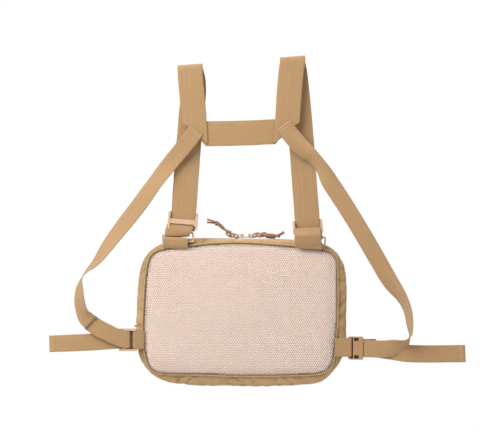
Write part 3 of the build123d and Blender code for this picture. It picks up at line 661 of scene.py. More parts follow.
left_line = centreline(LEFT_ROUTE)
pull_cord_left = cord_tube("pull_cord_left_strands", twisted(left_line, 1.2, 1.5, 0.72, 1.8), 1.4, "left")
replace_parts(pull_cord_left, "pull_cord_left")
loops_left = [
    ring_path((-20.5, 45, -257.8), (4.6, 2.6), -0.7, 1.6),
    ring_path((-15.0, 45, -259.8), (4.4, 2.4), 0.35, -1.6),
    ring_path((-9.6, 45, -261.0), (4.0, 2.2), -0.5, 1.4),
]
wrap_left = cord_tube("pull_wrap_left", loops_left, 1.15, "left")
knot_left = cord_tube("pull_knot_left_wraps", [knot_path((-38.5, 44.7, -241.2), 2.5, -0.5)], 1.45, "left")
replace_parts(knot_left, "pull_knot_left")

right_line = centreline(RIGHT_ROUTE)
pull_cord_right = cord_tube("pull_cord_right_strands", twisted(right_line, 1.0, 1.4, 0.7, 1.8), 1.4, "right")
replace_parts(pull_cord_right, "pull_cord_right")
SLEEVE_ENDS = ((37.0, 44.8, -260.4), (52.0, 44.8, -261.4))
sleeve_path = [tuple(mix(a, b, k / 12) for a, b in zip(*SLEEVE_ENDS)) for k in range(13)]


def sleeve_radius(t):
    """Fatter at its middle, with the ripple of the thread wound round it."""
    return 3.5 + 0.6 * math.sin(t * math.pi) + 0.14 * math.sin(t * 40)


sleeve_right = tube("pull_sleeve_wrap", [sleeve_path], sleeve_radius, SLEEVE, "pull_right", 16)
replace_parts(sleeve_right, "pull_sleeve_right")
loops_right = [
    ring_path((33.0, 45, -258.6), (5.2, 2.8), 0.25, 1.6),
    ring_path((26.4, 45, -259.2), (4.8, 2.6), -0.45, -1.6),
    ring_path((20.4, 45, -259.6), (4.2, 2.4), 0.4, 1.4),
    knot_path((56.6, 45.2, -260.2), 2.3, 0.4),
]
wrap_right = cord_tube("pull_wrap_right", loops_right, 1.25, "right")

# Webbing ----------

BAR_LEAN = math.radians(4.5)  # slope of the hang bar
BAR_FOLD, EYE, RING_EYE = 6.1, 2.3, 2.9  # how tight webbing turns round the hang bar, a thin bar and a ring
DOWN = (0, 0, -1)


def turn(along, depth, radius, start, end):
    angles = [math.radians(start + (end - start) * i / 8) for i in range(9)]
    return [(along + radius * math.cos(a), depth + radius * math.sin(a)) for a in angles]


def hung(x, z, lean, pairs):
    """Stations in a frame that leans by that many degrees: pairs are height and depth."""
    tilt = math.radians(lean)
    across = (math.cos(tilt), 0, math.sin(tilt))
    return [(x - h * math.sin(tilt), y, z + h * math.cos(tilt), *across) for h, y in pairs]


def facing(*points):
    """Stations (x, y, z, lean in degrees) of a strap that faces the wearer."""
    return [(x, y, z, math.cos(math.radians(a)), 0, math.sin(math.radians(a))) for x, y, z, a in points]


def upright(points, lean=0.0):
    """Stations (x, y, z) of a strap that runs sideways with its width upright."""
    return [(x, y, z, math.sin(math.radians(lean)), 0, math.cos(math.radians(lean))) for x, y, z in points]


def level_turn(z, *bend):
    """A turn in the level plane at height z: points (x, y, z)."""
    return [(x, y, z) for x, y in turn(*bend)]


def course(points):
    """For stations (x, y, z, turn in degrees): the place, the way the strap runs, cosine and sine of the turn."""
    for i, (*spot, turned) in enumerate(points):
        way = Vector(points[min(i + 1, len(points) - 1)][:3]) - Vector(points[max(i - 1, 0)][:3])
        yield spot, way.normalized(), math.cos(math.radians(turned)), math.sin(math.radians(turned))


def rolled(*points):
    """Stations of a strap whose face turns away from the wearer by those degrees."""
    rows = []
    for spot, way, cosine, sine in course(points):
        level = Vector((0, 1, 0)).cross(way).normalized()
        out = way.cross(level).normalized()
        rows.append((*spot, *(level * cosine + out * sine)))
    return rows


def inward(*points):
    """Stations of a strap that runs toward the pack with its width upright, turned on its way."""
    rows = []
    for spot, way, cosine, sine in course(points):
        up = Vector((0, 0, 1))
        up = (up - way * up.dot(way)).normalized()
        rows.append((*spot, *(up * cosine + up.cross(way) * sine)))
    return rows


strap(
    "shoulder_webbing_left",
    facing((-71, -6.1, -121.5, 1), (-71.4, -6.6, -100, 2.5), (-74.4, -6.8, -62, 4.5), (-78.2, -6.3, -20, 4.5))
    + hung(-78.7, -78.7 * math.tan(BAR_LEAN), 4.5, turn(0, 0, BAR_FOLD, -90, 90))
    + facing(
        (-74.6, 7.4, -22, 4), (-73.9, 8, -42, 2), (-76.8, 7, -70, -2), (-80.8, 6.3, -117, -4), (-86, 6.1, -184, -4.5),
        (-89.3, 6.1, -228, -4.5), (-92, 5.4, -241.5, -1), (-96.4, 3.2, -249, 3), (-98.4, 3.4, -256, 5),
    )
    + hung(-98.4, -264, 5, [(3.6, 5), (2.2, 8.8), (3.6, 12), (6.6, 12.4), (9.6, 12.2)]),
    38, WIDE_WEB, "pack", "shoulder_strap_left", seed=1.3, wave=0.4, slant=(-34, 0),
)
strap(
    "shoulder_webbing_right",
    facing((67.8, -6.1, -121, -1), (68.6, -6.6, -98, -3), (70.6, -6.8, -58, -4), (74.6, -6.3, -12, 2))
    + hung(77, 77 * math.tan(BAR_LEAN), 4.5, turn(0, 0, BAR_FOLD, -90, 90))
    + facing(
        (80.6, 7.4, -12, 5), (84.4, 7.4, -46, 5), (90.7, 6.3, -117, 4.2),
        (95.6, 6.1, -184, 4.2), (100.2, 6.1, -244, 3.6), (101.4, 6.1, -256, 1),
    )
    + hung(103.6, -266.8, -3, turn(5.7, 3.2, RING_EYE, 90, 270) + [(7.1, 0.3)]),
    38, WIDE_WEB, "pack", "shoulder_strap_right", seed=5.1, wave=0.4, slant=(34, 0),
)
YOKE = [(-87, -4.3, -105.8), (-50, -4.4, -105), (-22, -4.8, -104.6)]
YOKE += [(10, -4.9, -103.8), (46, -4.4, -102.2), (82, -4.3, -101.2)]
strap("yoke_webbing", upright(YOKE, -1.5), 38, WIDE_WEB, "pack", "yoke", seed=9.2, wave=0.5, slant=(-32, -32))
strap(
    "side_webbing_left",
    rolled(
        (-68.5, -7.9, -99.5, 0), (-80, -7.9, -114.6, 0), (-94.6, -4, -132.3, 4), (-111.8, 0.6, -152.6, 14),
        (-131.2, -1.6, -178, 24), (-155, -5, -211.6, 16), (-196.8, -10.5, -266.1, 34), (-221.4, -11.5, -300, 62),
        (-233.8, -11, -311.5, 79), (-241, -10.5, -321, 86), (-245.6, -9.5, -340, 60), (-246, -8.5, -358, 46),
        (-241.8, -7, -376, 36), (-236.6, -6, -384.4, 16), (-228.8, -5.7, -392.2, 2),
    ),
    25, NARROW_WEB, "pack", "side_strap_left", seed=3.7,
)
strap(
    "lower_webbing_left",
    inward(
        (-231, -3.3, -390.8, 0), (-227, -3.4, -393.8, 0), (-222, -3.5, -397.4, 0), (-212, -3.6, -402.9, 0),
        (-202, -2.7, -408, 0), (-191, -1, -413.2, 0), (-181, 0.8, -417, 0),
    )
    + upright(
        level_turn(-418.2, -173.4, 4.6, EYE, 270, 450)
        + [(-180.2, 4.6, -418.8), (-185.8, 3.6, -419), (-200, 3, -419.8)]
        + [(-228, 1.9, -421.6), (-260, 1, -422.9), (-293, 1.8, -424.2)]
    ),
    25.6, NARROW_WEB, "pack", "lower_strap_left", seed=6.1,
)
side_right = strap(
    "side_webbing_right",
    rolled(
        (62.1, -7.9, -91.5, 0), (76, -7.9, -109.5, 0), (92.2, -8.8, -127.6, 16), (107.8, -10.4, -140.4, 44),
        (120.8, -11.2, -156.4, 46), (133, -11.8, -178.4, 18), (144, -12, -195, 14), (172.6, -13, -240.4, 16),
        (201.6, -13, -290, 16), (223, -12.4, -327, 26), (242, -10.8, -354, 56), (249, -9.6, -368, 66),
        (252.8, -8.4, -382, 71), (254.4, -7.4, -396, 76), (255, -6.4, -408, 86), (252, -5, -417, 106),
        (245, -3.4, -424.2, 134), (235, -1.8, -428.8, 158), (223, -0.6, -431.4, 172), (211, 0.6, -432.2, 180),
    )
    + [(200, 1.8, -431.9, *DOWN)]
    + [(*spot, *DOWN) for spot in level_turn(-431.4, 188.9, 6, EYE + 0.3, 270, 90)]
    + [(197.8, 6.3, -431.6, *DOWN), (203.2, 5.2, -432, *DOWN), (214, 4.6, -433.6, *DOWN)]
    + [(232, 3.6, -436.2, 0, -0.06, -1), (250, 3.2, -438.8, 0, -0.12, -1), (275, 4, -439.9, 0, -0.18, -1)]
    + [(306, 6.6, -439.9, 0, -0.20, -1), (341, 10.2, -439.8, 0, -0.18, -1)],
    26.3, NARROW_WEB, None, "side_strap_right lower_strap_right", seed=8.8,
)
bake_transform(side_right)

# Sewn ends, loops and tabs ----------

END_LEFT = [(-15.2, 12.5), (-12.5, 12.9), *turn(-9.6, 10.6, EYE, 90, -80), (-12, 8.9), (-14.6, 10.2)]
strap(
    "sewn_end_left", hung(-90, -237, -4.5, END_LEFT),
    37.6, WIDE_WEB, "adjuster_left", "strap_end_left", seed=2.2, step=1,
)
# The near ply hangs in front of the ring, down to the edge of the panel
END_RIGHT = [(-30.6, 2.4), (-28.2, -0.4), (-25.4, -2.2), (-17, -5.6), (-11, -6.8), (-8, -4.6)]
END_RIGHT += [*turn(-4.8, 1.6, EYE + 0.9, -90, 80), (-7.2, 3.6), (-9.5, 3.2)]
strap(
    "sewn_end_right", hung(99.6, -246.8, 2.4, END_RIGHT),
    39.6, WIDE_WEB, "adjuster_right", "strap_end_right", seed=4.4, step=1.2, wave=0.6,
)
ANCHOR_LEFT = [(-14.4, 6.6), (-12.4, 4.6), (-9, 2.8), (-5, 2), (-1, 1.6), (1.6, 2.6)]
ANCHOR_LEFT += [(0.8, 5.2), (-0.8, 8), (-2.4, 10.8), (-5, 12), (-10.2, 11.8)]
strap(
    "anchor_webbing_left", hung(-101, -264.4, -2, ANCHOR_LEFT),
    37.8, WIDE_WEB, "pack", "anchor_loop_left", seed=7.4, step=1.2, wave=0.5,
)
ANCHOR_RIGHT = [(-13, 1.6), (-9, 0.8), *turn(-5.7, 3.2, RING_EYE, -90, 90), (-7, 6.7)]
strap(
    "anchor_webbing_right", hung(103.6, -266.8, -3, ANCHOR_RIGHT),
    37.6, WIDE_WEB, "pack", "anchor_loop_right", seed=7.9, step=1.2,
)
TAB_LEFT = [(-149, 6.4, -418.5), (-151.4, 5.2, -418.5)]
TAB_LEFT += [*level_turn(-418.5, -163.3, 6, EYE, 270, 90), (-149.4, 8.6, -418.5)]
strap("side_tab_left_webbing", upright(TAB_LEFT), 27.6, TAB_WEB, "pack", "side_tab_left", seed=1.1, step=1.5)
TAB_RIGHT = [(142, 4.2, -430.2), (149.4, 4.4, -430)]
TAB_RIGHT += [*level_turn(-429.8, 165, 6, EYE, -90, 90), (149.4, 8.6, -429.8)]
strap("side_tab_right_webbing", upright(TAB_RIGHT), 28.6, TAB_WEB, "pack", "side_tab_right", seed=2.9, step=1.5)


# Pack body ----------

PACK_MID = (-264.0 - 491.5) / 2  # halfway between the pack's top and bottom
HINGE_Z = -402.0
ZIP_Y = 45.0
COUNT = 336


def closed_outline(knots, count):
    """Smooth closed outline through knots (x, z), evenly spaced: points (x, z, nx, nz)."""
    ring = [(x, z, 0.0) for x, z in knots]
    dense = spline(ring[-3:] + ring + ring[:3], 1.5)
    first = min(range(len(dense) // 2), key=lambda k: math.dist(dense[k], ring[0]))
    last = min(range(len(dense) // 2, len(dense)), key=lambda k: math.dist(dense[k], ring[0]))
    path = dense[first : last + 1]
    lengths = run_lengths(path)
    points = []
    for k in range(count):
        index, t = locate(lengths, lengths[-1] * k / count)
        points.append((mix(path[index][0], path[index + 1][0], t), mix(path[index][1], path[index + 1][1], t)))
    out = []
    middle = sum(z for x, z in points) / count
    for k, (x, z) in enumerate(points):
        ax, az = points[k - 2]
        bx, bz = points[(k + 2) % count]
        size = math.hypot(bx - ax, bz - az)
        nx, nz = -(bz - az) / size, (bx - ax) / size
        if nx * x + nz * (z - middle) < 0:
            nx, nz = -nx, -nz
        out.append((x, z, nx, nz))
    return out


def rounded(half, top, bottom, radius, count):
    """Rounded rectangle as an outline like closed_outline's."""
    x, high, low = half - radius, top - radius, bottom + radius
    knots = []
    for cx, cz, start in ((x, high, 90), (x, low, 0), (-x, low, -90), (-x, high, -180)):
        for k in range(7):
            a = math.radians(start - 15 * k)
            knots.append((cx + radius * math.cos(a), cz + radius * math.sin(a)))
    return closed_outline(knots, count)


# Outline of the filled pack: taut at the top, a little sagged at the bottom
LOOP = closed_outline(
    [
        (0, -265.2), (45, -265.9), (83, -267.4), (108, -270), (126, -273.6), (138, -279.2), (147, -287.4),
        (154.2, -300), (159, -315), (161.3, -344), (160.4, -376), (159.4, -414), (157.4, -436), (152.4, -450),
        (142.4, -466.4), (133.2, -476.4), (120.5, -484.2), (100, -488.6), (60, -491), (0, -491.5), (-64.8, -490.4),
        (-104.6, -486), (-122, -481.6), (-134.7, -475.2), (-145.4, -466), (-154.8, -452.8), (-159.9, -438.4),
        (-162.2, -412), (-161.9, -372), (-160.6, -346), (-158.6, -326), (-155.2, -309), (-150, -295.6),
        (-143, -286), (-135, -279.2), (-125, -273.6), (-104, -267.6), (-75.7, -264.9), (-40, -264.6),
    ],
    COUNT,
)
# Seam of the mesh panel
SEAM = closed_outline(
    [
        (-8, -271.3), (30, -272.9), (68, -275.7), (100, -278.3), (121, -281.1), (132.6, -284.6), (140.6, -290.6),
        (144.6, -301), (145.2, -327), (145.4, -364), (144.3, -397), (142.2, -420), (140.6, -436), (138.8, -449),
        (135, -459), (128, -466), (117, -470), (60, -472.6), (0, -473.2), (-60, -471.4), (-114, -470.4),
        (-130.6, -467.8), (-140.4, -460.6), (-146, -446), (-149.2, -429), (-150.2, -408), (-149.6, -376),
        (-147.9, -344), (-145.6, -318), (-142.6, -301), (-137.4, -290), (-128.6, -283.8), (-115, -280.2),
        (-81, -276.3), (-50, -272.9),
    ],
    COUNT,
)
# Depth profile of the cloth, from the panel's seam to the front: depth, and how far in from the outline
SIDE_PROFILE = [
    (11.2, 10.5), (11.6, 8.2), (12.6, 5.6), (14.6, 3.2), (17.6, 1.4), (21.5, 0.4), (26, 0), (32, 0), (39, 0.3),
    (45, 0.5), (51, 0.3), (58, 0), (64, 0.3), (69, 1.6), (73, 4.2), (76, 8), (77.8, 13),
]
# The front: share of the way out from its middle, and depth
FRONT_PROFILE = [(0.94, 78.3), (0.86, 78.6), (0.74, 78.9), (0.6, 79.1)]
FRONT_PROFILE += [(share, 79.2) for share in (0.45, 0.3, 0.15, 0.04)]
FOLDS = ((1.3, 4.0, 0.030), (-1.1, 9.0, 0.041))  # lean, seed and pitch of the two sets of valleys


def profile(points, step):
    return [(depth, inset) for depth, inset, _ in spline([(*point, 0.0) for point in points], step)]


def pucker(x, y, z, seed, strength):
    """Creases that run away from a seam, with softer dents between them."""
    fine = noise.noise(Vector((x * 0.075, y * 0.02, z * 0.075)) + Vector((seed, 0, 0)))
    broad = noise.noise(Vector((x * 0.022, y * 0.03, z * 0.022)) + Vector((0, seed, 0)))
    ridge = 1 - abs(noise.noise(Vector((x * 0.05, y * 0.012, z * 0.05)) + Vector((0, 0, seed)))) * 2
    return strength * (0.45 * fine + 0.8 * broad + 0.5 * max(0.0, ridge - 0.6))


def shell_rows():
    """The whole cloth of the pack as rows round its outline, from the seam at the back to the front's middle."""
    rows = []
    flange = []
    for x, z, _, _ in LOOP:
        inner_x, inner_z = x * 0.92, PACK_MID + (z - PACK_MID) * 0.88
        flange.append(min(SEAM, key=lambda spot: (spot[0] - inner_x) ** 2 + (spot[1] - inner_z) ** 2))
    depth, inset = SIDE_PROFILE[0]
    for share in (0.0, 0.12, 0.3, 0.5, 0.75):
        row = []
        for (x, z, nx, nz), (sx, sz, _, _) in zip(LOOP, flange):
            row.append((mix(sx, x - nx * inset, share), mix(9.0, depth, share), mix(sz, z - nz * inset, share)))
        rows.append(row)
    for depth, inset in profile(SIDE_PROFILE, 2.0):
        rows.append([(x - nx * inset, depth, z - nz * inset) for x, z, nx, nz in LOOP])
    rim = rows[-1]
    for share, depth in FRONT_PROFILE:
        rows.append([(x * share, depth, PACK_MID + (z - PACK_MID) * share) for x, y, z in rim])
    out = []
    for index, row in enumerate(rows):
        new_row = []
        for k, (x, y, z) in enumerate(row):
            nx, nz = LOOP[k][2:]
            near_back = smooth(1 - abs(y - 14) / 16) * smooth((y - 8.8) / 3)
            near_zip = smooth(abs(y - ZIP_Y) / 7)
            sides = smooth(1 - (y - 62) / 14)
            dent = pucker(x, y, z, 3.1, 1.5 * near_back + 0.7) * near_zip * sides * smooth((y - 9.4) / 2)
            front = pucker(x, 0, z, 8.4, 1.1) * (1 - sides)
            reach = min(index, 12) * 1.3
            arc = k * 3.4
            valley = 0.0
            for lean, seed, pitch in FOLDS:
                line = noise.noise(Vector(((arc + lean * reach) * pitch, reach * 0.02, seed)))
                valley += max(0.0, 1 - abs(line) * 9) * (0.5 + noise.noise(Vector((arc * 0.02, 2.0, seed))))
            roll = noise.noise(Vector((arc * 0.06, reach * 0.05, 4.0)))
            fold = (2.3 * roll - 3.2 * valley) * smooth(index / 2.5) * smooth((34 - y) / 16)
            new_row.append((x + nx * (dent + 0.25 * fold), y + front - fold, z + nz * (dent + 0.25 * fold)))
        out.append(new_row)
    return out


def shell_object(name, keep, with_flap, node):
    """Part of the pack's cloth: the faces whose middle passes keep, cut cleanly at the fold."""
    rows = shell_rows()
    count = len(rows[0])
    last = (len(rows) - 1) * count
    faces = loft(len(rows), count) + [tuple(last + k for k in range(count))]
    obj = new_object(name, [p for row in rows for p in row], faces, SHELL, None)
    work = bmesh.new()
    work.from_mesh(obj.data)
    geometry = work.verts[:] + work.edges[:] + work.faces[:]
    bmesh.ops.bisect_plane(work, geom=geometry, plane_co=(0, 0, HINGE_Z * MM), plane_no=(0, 0, 1), dist=1e-6)
    gone = [f for f in work.faces if not keep(*(c / MM for c in f.calc_center_median()))]
    bmesh.ops.delete(work, geom=gone, context="FACES")
    bmesh.ops.triangulate(work, faces=[f for f in work.faces if len(f.verts) > 4])
    work.to_mesh(obj.data)
    work.free()
    settle(obj)
    solid = obj.modifiers.new("thickness", "SOLIDIFY")
    solid.thickness = 1.3 * MM
    solid.offset = -1
    apply_modifiers(obj)
    settle(obj)
    ride_fold(obj, with_flap)
    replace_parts(obj, node)


def ride_fold(obj, with_flap):
    """Rides the pack, or, with with_flap, is left loose with its placement baked into the mesh."""
    if with_flap:
        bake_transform(obj)
    else:
        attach(obj, "pack")


shell_object("pack_cloth_rear", lambda x, y, z: z < HINGE_Z or y < 39.0, False, "pack_shell")
shell_object("flap_cloth", lambda x, y, z: z > HINGE_Z and y > 51.0, True, "flap_shell")

# Piping over the fold where the flap joins the pack
fold_line = [(159.4 - inset, depth) for depth, inset in profile([p for p in SIDE_PROFILE if p[0] > 46], 3.0)]
fold_line += [(148.0 * (1 - k / 40), 78.2 + smooth(k / 20)) for k in range(1, 41)]
fold_path = [(-x, y, HINGE_Z) for x, y in fold_line] + [(x, y, HINGE_Z) for x, y in reversed(fold_line[:-1])]
tube("flap_fold_piping", [fold_path], 1.5, TAPE_CLOTH, "pack")


# Mesh panel ----------

PAD_CLOTH = {
    "use_pressure": True, "quality": 4, "tension_stiffness": 12, "compression_stiffness": 12,
    "shear_stiffness": 8, "bending_stiffness": 0.6,
}
PAD_FRAMES = 20


def pad(obj, voxel, pressure, cap, body, nodes):
    """Puffs a closed solid with a cloth simulation, then smooths it. The shape may move by cap millimetres."""
    remesh = obj.modifiers.new("remesh", "REMESH")
    remesh.mode = "VOXEL"
    remesh.voxel_size = voxel * MM
    apply_modifiers(obj)
    rest = [v.co.copy() for v in obj.data.vertices]
    scene = bpy.context.scene
    cloth = obj.modifiers.new("cloth", "CLOTH")
    for key, value in PAD_CLOTH.items():
        setattr(cloth.settings, key, value)
    cloth.settings.uniform_pressure_force = pressure
    cloth.settings.effector_weights.gravity = 0
    cloth.point_cache.frame_start = 1
    cloth.point_cache.frame_end = PAD_FRAMES
    for number in range(1, PAD_FRAMES + 1):
        scene.frame_set(number)
    apply_modifiers(obj)
    scene.frame_set(1)
    for vertex, start in zip(obj.data.vertices, rest):
        move = vertex.co - start
        if move.length > cap * MM:
            vertex.co = start + move.normalized() * cap * MM
    obj.modifiers.new("round", "SMOOTH").iterations = 2
    obj.modifiers.new("finer", "SUBSURF").levels = 1
    apply_modifiers(obj)
    settle(obj)
    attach(obj, body)
    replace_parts(obj, *nodes.split())


RINGS = (1.0, 0.97, 0.9, 0.75, 0.5, 0.25, 0.06)


def slab(name, loop, near, far, inset, material, body, rings=RINGS, dome=0.0):
    """Closed solid on an outline, from depth near to far; the near face falls back by dome at its edge."""
    count = len(loop)
    cx, cz = ((max(p[axis] for p in loop) + min(p[axis] for p in loop)) / 2 for axis in (0, 1))
    vertices = []
    shares = [(share, near + dome * share * share) for share in reversed(rings)] + [(share, far) for share in rings]
    for share, depth in shares:
        for x, z, nx, nz in loop:
            vertices.append((cx + (x - nx * inset - cx) * share, depth, cz + (z - nz * inset - cz) * share))
    last = (len(shares) - 1) * count
    faces = loft(len(shares), count) + [tuple(range(count)), tuple(last + k for k in range(count))]
    return new_object(name, vertices, faces, material, body)


panel = slab("mesh_panel_core", SEAM[::2], 4.0, 12.0, 0.2, SPACER, None, dome=3.4)
pad(panel, 5.0, 4.0, 2.0, "pack", "back_mesh back_foam")
panel_mesh = panel.data
panel_tree = BVHTree.FromPolygons(
    [tuple(v.co) for v in panel_mesh.vertices], [tuple(p.vertices) for p in panel_mesh.polygons]
)


def panel_face(x, z):
    """Depth of the panel's outer face in millimetres at x and z."""
    hit = panel_tree.ray_cast(Vector((x * MM, -0.05, z * MM)), Vector((0, 1, 0)))[0]
    return 9.0 if hit is None else hit.y / MM


GRID = 6.0
grid_depth = {}


def smooth_face(x, z):
    """The same depth, evened out over a coarse grid so that the net lies taut."""
    i, j = math.floor(x / GRID), math.floor(z / GRID)
    u, v = x / GRID - i, z / GRID - j
    total = 0.0
    for di, dj, share in ((0, 0, (1 - u) * (1 - v)), (1, 0, u * (1 - v)), (0, 1, (1 - u) * v), (1, 1, u * v)):
        key = (i + di, j + dj)
        if key not in grid_depth:
            spots = ((0, 0), (3, 0), (-3, 0), (0, 3), (0, -3))
            depths = [panel_face(key[0] * GRID + a, key[1] * GRID + b) for a, b in spots]
            grid_depth[key] = min(8.8, sum(depths) / len(spots))
        total += grid_depth[key] * share
    return total


def seam_gap(x, z):
    """How far inside the panel's seam a point is."""
    near = min(SEAM[::2], key=lambda spot: (spot[0] - x) ** 2 + (spot[1] - z) ** 2)
    return (near[0] - x) * near[2] + (near[1] - z) * near[3]


NET_X, NET_Z = 3.5, 2.75  # pitch of the net's eyes
EYE_CORNERS = [(0.5, 0.227), (0.5, -0.227), (0.0, -0.667), (-0.5, -0.227), (-0.5, 0.227), (0.0, 0.667)]


def knitted_net():
    """Open net of the spacer mesh: six-sided eyes with rounded yarn between them, rolled under at the seam."""
    shared = {}
    vertices, faces = [], []

    def vertex(x, z, lift, key=None):
        if key is not None and key in shared:
            return shared[key]
        roll = 1.6 * smooth(1 - seam_gap(x, z) / 2.6)
        vertices.append((x, smooth_face(x, z) - lift + roll, z))
        if key is not None:
            shared[key] = len(vertices) - 1
        return len(vertices) - 1

    for j in range(-39, 39):
        for i in range(-45, 45):
            cx = (i + 0.5 * (j % 2)) * NET_X
            cz = -372.0 + j * NET_Z
            if abs(cx) > 152 or seam_gap(cx, cz) < 1.1:
                continue
            slack = 0.03 * noise.noise(Vector((cx * 0.1, cz * 0.1, 2.0)))
            eye = []
            for ox, oz in EYE_CORNERS:
                x, z = cx + ox * NET_X, cz + oz * NET_Z
                corner = [vertex(x, z, 0.75, (round(x * 20), round(z * 20)))]
                for share, lift in ((0.78 + slack, 0.6), (0.57 + slack, -0.1)):
                    corner.append(vertex(cx + ox * NET_X * share, cz + oz * NET_Z * share, lift))
                eye.append(corner)
            for one, two in zip(eye, eye[1:] + eye[:1]):
                faces += [(one[k], two[k], two[k + 1], one[k + 1]) for k in (0, 1)]
    new_object("mesh_panel_net", vertices, faces, NET, "pack")


knitted_net()

# Lining behind the padding, which closes the inside of the pack
slab("back_lining_panel", SEAM[::2], 13.4, 14.6, -2.6, LINING, "pack", dome=-1.2)


def band_tube(name, loop, inset, depth, wide, deep, material, body, ripple):
    """A soft piping of oval section that follows an outline all round."""
    vertices = []
    sides = 12
    for x, z, nx, nz in loop:
        swell = 1 + ripple * noise.noise(Vector((x * 0.12, 0.0, z * 0.12)))
        for k in range(sides):
            a = 2 * math.pi * k / sides
            across = math.cos(a) * wide / 2 * swell - inset
            vertices.append((x + nx * across, depth + math.sin(a) * deep / 2 * swell, z + nz * across))
    return new_object(name, vertices, loft(len(loop), sides, wrap=True), material, body)


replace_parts(band_tube("panel_seam_tape", SEAM, -1.3, 9.0, 2.3, 4.2, SHELL, "pack", 0.3), "panel_binding")


# Zippers ----------

COIL_PITCH = 1.9


def upper_loop(inset, low):
    """The outline above a height, from the left end over the top to the right end."""
    points = [(x - nx * inset, z - nz * inset, nx, nz) for x, z, nx, nz in LOOP if z > low]
    return sorted(points, key=lambda spot: math.atan2(spot[0], spot[1] - PACK_MID))


def zipper_half(name, near, far, coil_side, with_flap, node):
    """Woven tape along the zipper with its moulded coil on the edge."""
    line = upper_loop(1.6, HINGE_Z + 0.5)
    vertices = []
    for x, z, nx, nz in line:
        for depth, inset in ((near, 0.0), (far, 0.0), (far, 0.9), (near, 0.9)):
            vertices.append((x - nx * inset, depth, z - nz * inset))
    tape = new_object(name + "_tape", vertices, closed_loft(len(line), 4), TAPE_CLOTH, None, soft=False)
    lengths = run_lengths([spot[:2] for spot in line])
    vertices, faces = [], []
    edge = far if coil_side > 0 else near
    for n in range(int(lengths[-1] / COIL_PITCH)):
        index, t = locate(lengths, (n + (0.5 if coil_side > 0 else 0.0)) * COIL_PITCH + 0.4)
        x, z, nx, nz = (mix(a, b, t) for a, b in zip(line[index], line[index + 1]))
        faces += closed_loft(4, 6, len(vertices))
        for u, fat in ((-2.6, 0.42), (-1.6, 0.55), (-0.4, 0.6), (0.5, 0.42)):
            for a in six_round():
                along, up = math.cos(a) * fat, math.sin(a) * fat * 1.5 + 1.1
                vertices.append((x + nz * along + nx * up, edge + coil_side * u, z - nx * along + nz * up))
    coil = new_object(name + "_coil", vertices, faces, COIL, None)
    for piece in (tape, coil):
        ride_fold(piece, with_flap)
    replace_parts(tape, node)


zipper_half("main_zip_rear", 36.0, 44.6, 1, False, "rear_zipper")
zipper_half("main_zip_front", 45.4, 54.0, -1, True, "front_zipper")

TAB_TILT = math.radians(30)
for side, x, end in ((-1, 160.2, "left"), (1, 155.4, "right")):
    stations = []
    for t in (0, 0.25, 0.5, 0.75, 1.0):
        z = -403.4 + 7.2 * t * math.sin(TAB_TILT) + 0.5 * math.sin(t * math.pi)
        stations.append((side * (x + 7.0 * t * math.cos(TAB_TILT)), 45.0, z, 0, 1, 0))
    names = ("zip_end_tab_" + end, "zipper_end_" + end)
    strap(names[0], stations, 12, TAPE_CLOTH, "pack", names[1], 1.0, 4.0 + side, 0.1, 1.9)


# Flap lining and front pocket ----------

lining = slab("flap_lining_pad", rounded(114, -291, -389, 20, 120), 71.8, 75.2, 1.0, LINING, None)
pad(lining, 4.5, 3.0, 1.4, "flap", "flap_foam")

pocket_loop = rounded(107, -309, -391, 18, 160)
POCKET_RINGS = (1.0, 0.96, 0.88, 0.75, 0.5, 0.25, 0.06)
pocket = slab("front_pocket_bag", pocket_loop, 78.0, 89.0, 1.0, SHELL, None, POCKET_RINGS)
pad(pocket, 5.0, 4.0, 2.4, "flap", "front_pocket")
band_tube("pocket_seam_tape", pocket_loop, -0.8, 79.2, 3.6, 2.4, TAPE_CLOTH, "flap", 0.1)

# Zipper across the pocket's face: two tapes and a row of coil
ZIP_LEVEL, ZIP_FACE = -322.0, 90.2
pocket_tape = [(-95 + 190 * k / 60, ZIP_FACE + 0.5, ZIP_LEVEL, 0, 0, 1) for k in range(61)]
strap(
    "pocket_zip_tape", pocket_tape, 13, TAPE_CLOTH, "flap", "pocket_zipper",
    step=4.0, seed=11.0, wave=0.2, thick=1.0,
)
vertices, faces = [], []
for n in range(98):
    for half, shift in ((-1, 0.0), (1, 0.95)):
        x = -93.0 + n * COIL_PITCH + shift
        faces += closed_loft(3, 6, len(vertices))
        for u, fat in ((0.4, 0.42), (-0.5, 0.55), (-1.7, 0.45)):
            for a in six_round():
                vertices.append((x + math.cos(a) * fat, ZIP_FACE + 1.4 + math.sin(a) * fat, ZIP_LEVEL - half * u))
new_object("pocket_zip_coil", vertices, faces, COIL, "flap")


# Stitching ----------


def cross_line(frames, run, half, lift):
    """A row of stitches straight across a strap."""
    line = []
    for k in range(9):
        u = mix(-half, half, k / 8)
        spot = at(frames, run, u, lift)
        line.append((tuple(spot), tuple((spot - at(frames, run, u, 0.0)).normalized())))
    return line


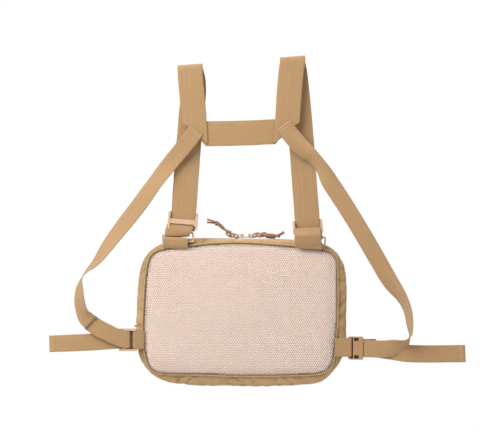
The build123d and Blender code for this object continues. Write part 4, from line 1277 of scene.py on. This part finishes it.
def stitched(name, web, look, runs, half, body, material, spots=9, radius=0.36):
    """Rows of stitches across a strap, on the side that looks at the wearer at look.

    Runs below zero are counted back from the strap's end.
    """
    frames = FRAMES[web]
    look, *runs = (run if run > 0 else frames[-1][3] + run for run in (look, *runs))
    lift = -0.95 if (at(frames, look, 0, 1.0) - at(frames, look, 0, 0.0)).y > 0 else 0.95
    lines = [cross_line(frames, run, half, lift)[:spots] for run in runs]
    thread(name, lines, body, material, radius=radius)


for end in ("left", "right"):
    stitched("side_stitches_" + end, "side_webbing_" + end, 2.0, (2.2, 6.0), 11.2, "pack", THREAD)
# Stitches in dark thread at the lap: real stitching, made dark to stand in for the shadow line where the straps
# overlap (painted shade)
stitched("lap_shadow_stitches_left", "side_webbing_left", -1.6, (-1.6,), 11.4, "pack", DARK_THREAD)
stitched("tail_stitches_left", "lower_webbing_left", -3, (-3.0, -5.4), 11.0, "pack", THREAD)
stitched("tail_stitches_right", "side_webbing_right", -3, (-5.0, -7.4), 11.8, "plug", THREAD, radius=0.5)
stitched("adjuster_stitches_right", "sewn_end_right", 3.0, (20.4, 22.6), 17.0, "adjuster_right", THREAD, spots=5)

# Dark cord in the panel's seam, which also stands in for the thin shadow line along it (painted shade), with stitches
# round its lower left corner
band_tube("panel_seam_cord", SEAM, 0.2, 7.9, 1.3, 1.4, SEAM_SHADE_CORD, "pack", 0.2)
corner = [spot for spot in SEAM if spot[0] < -112 and spot[1] < -438]
corner_line = [((x + nx * 1.2, 7.4, z + nz * 1.2), (nx * 0.3, -1, nz * 0.3)) for x, z, nx, nz in corner]
thread("panel_seam_stitches", [corner_line], "pack", DARK_THREAD, 4.6, 2.2, 0.42)


# Hardware keeps its CAD shape ----------

FINISHES = (
    (PLASTIC, "adjuster_left adjuster_right ring_left ring_right ladder_lock_left"),
    (BUCKLE_PLASTIC, "buckle_socket buckle_plug buckle_prong_upper buckle_prong_lower"),
    (METAL, "zip_slider_left zip_slider_right zip_puller_left zip_puller_right pocket_slider pocket_puller"),
)
for finish, nodes in FINISHES:
    for node in nodes.split():
        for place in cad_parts[node].material_slots:
            place.material = finish

# Studio floor ----------

bpy.ops.mesh.primitive_circle_add(vertices=96, radius=1.8, fill_type="NGON", location=(0, 0.1, -1.3))
floor = bpy.context.object
floor.name = "studio_floor"
floor.data.materials.append(FLOOR.material)
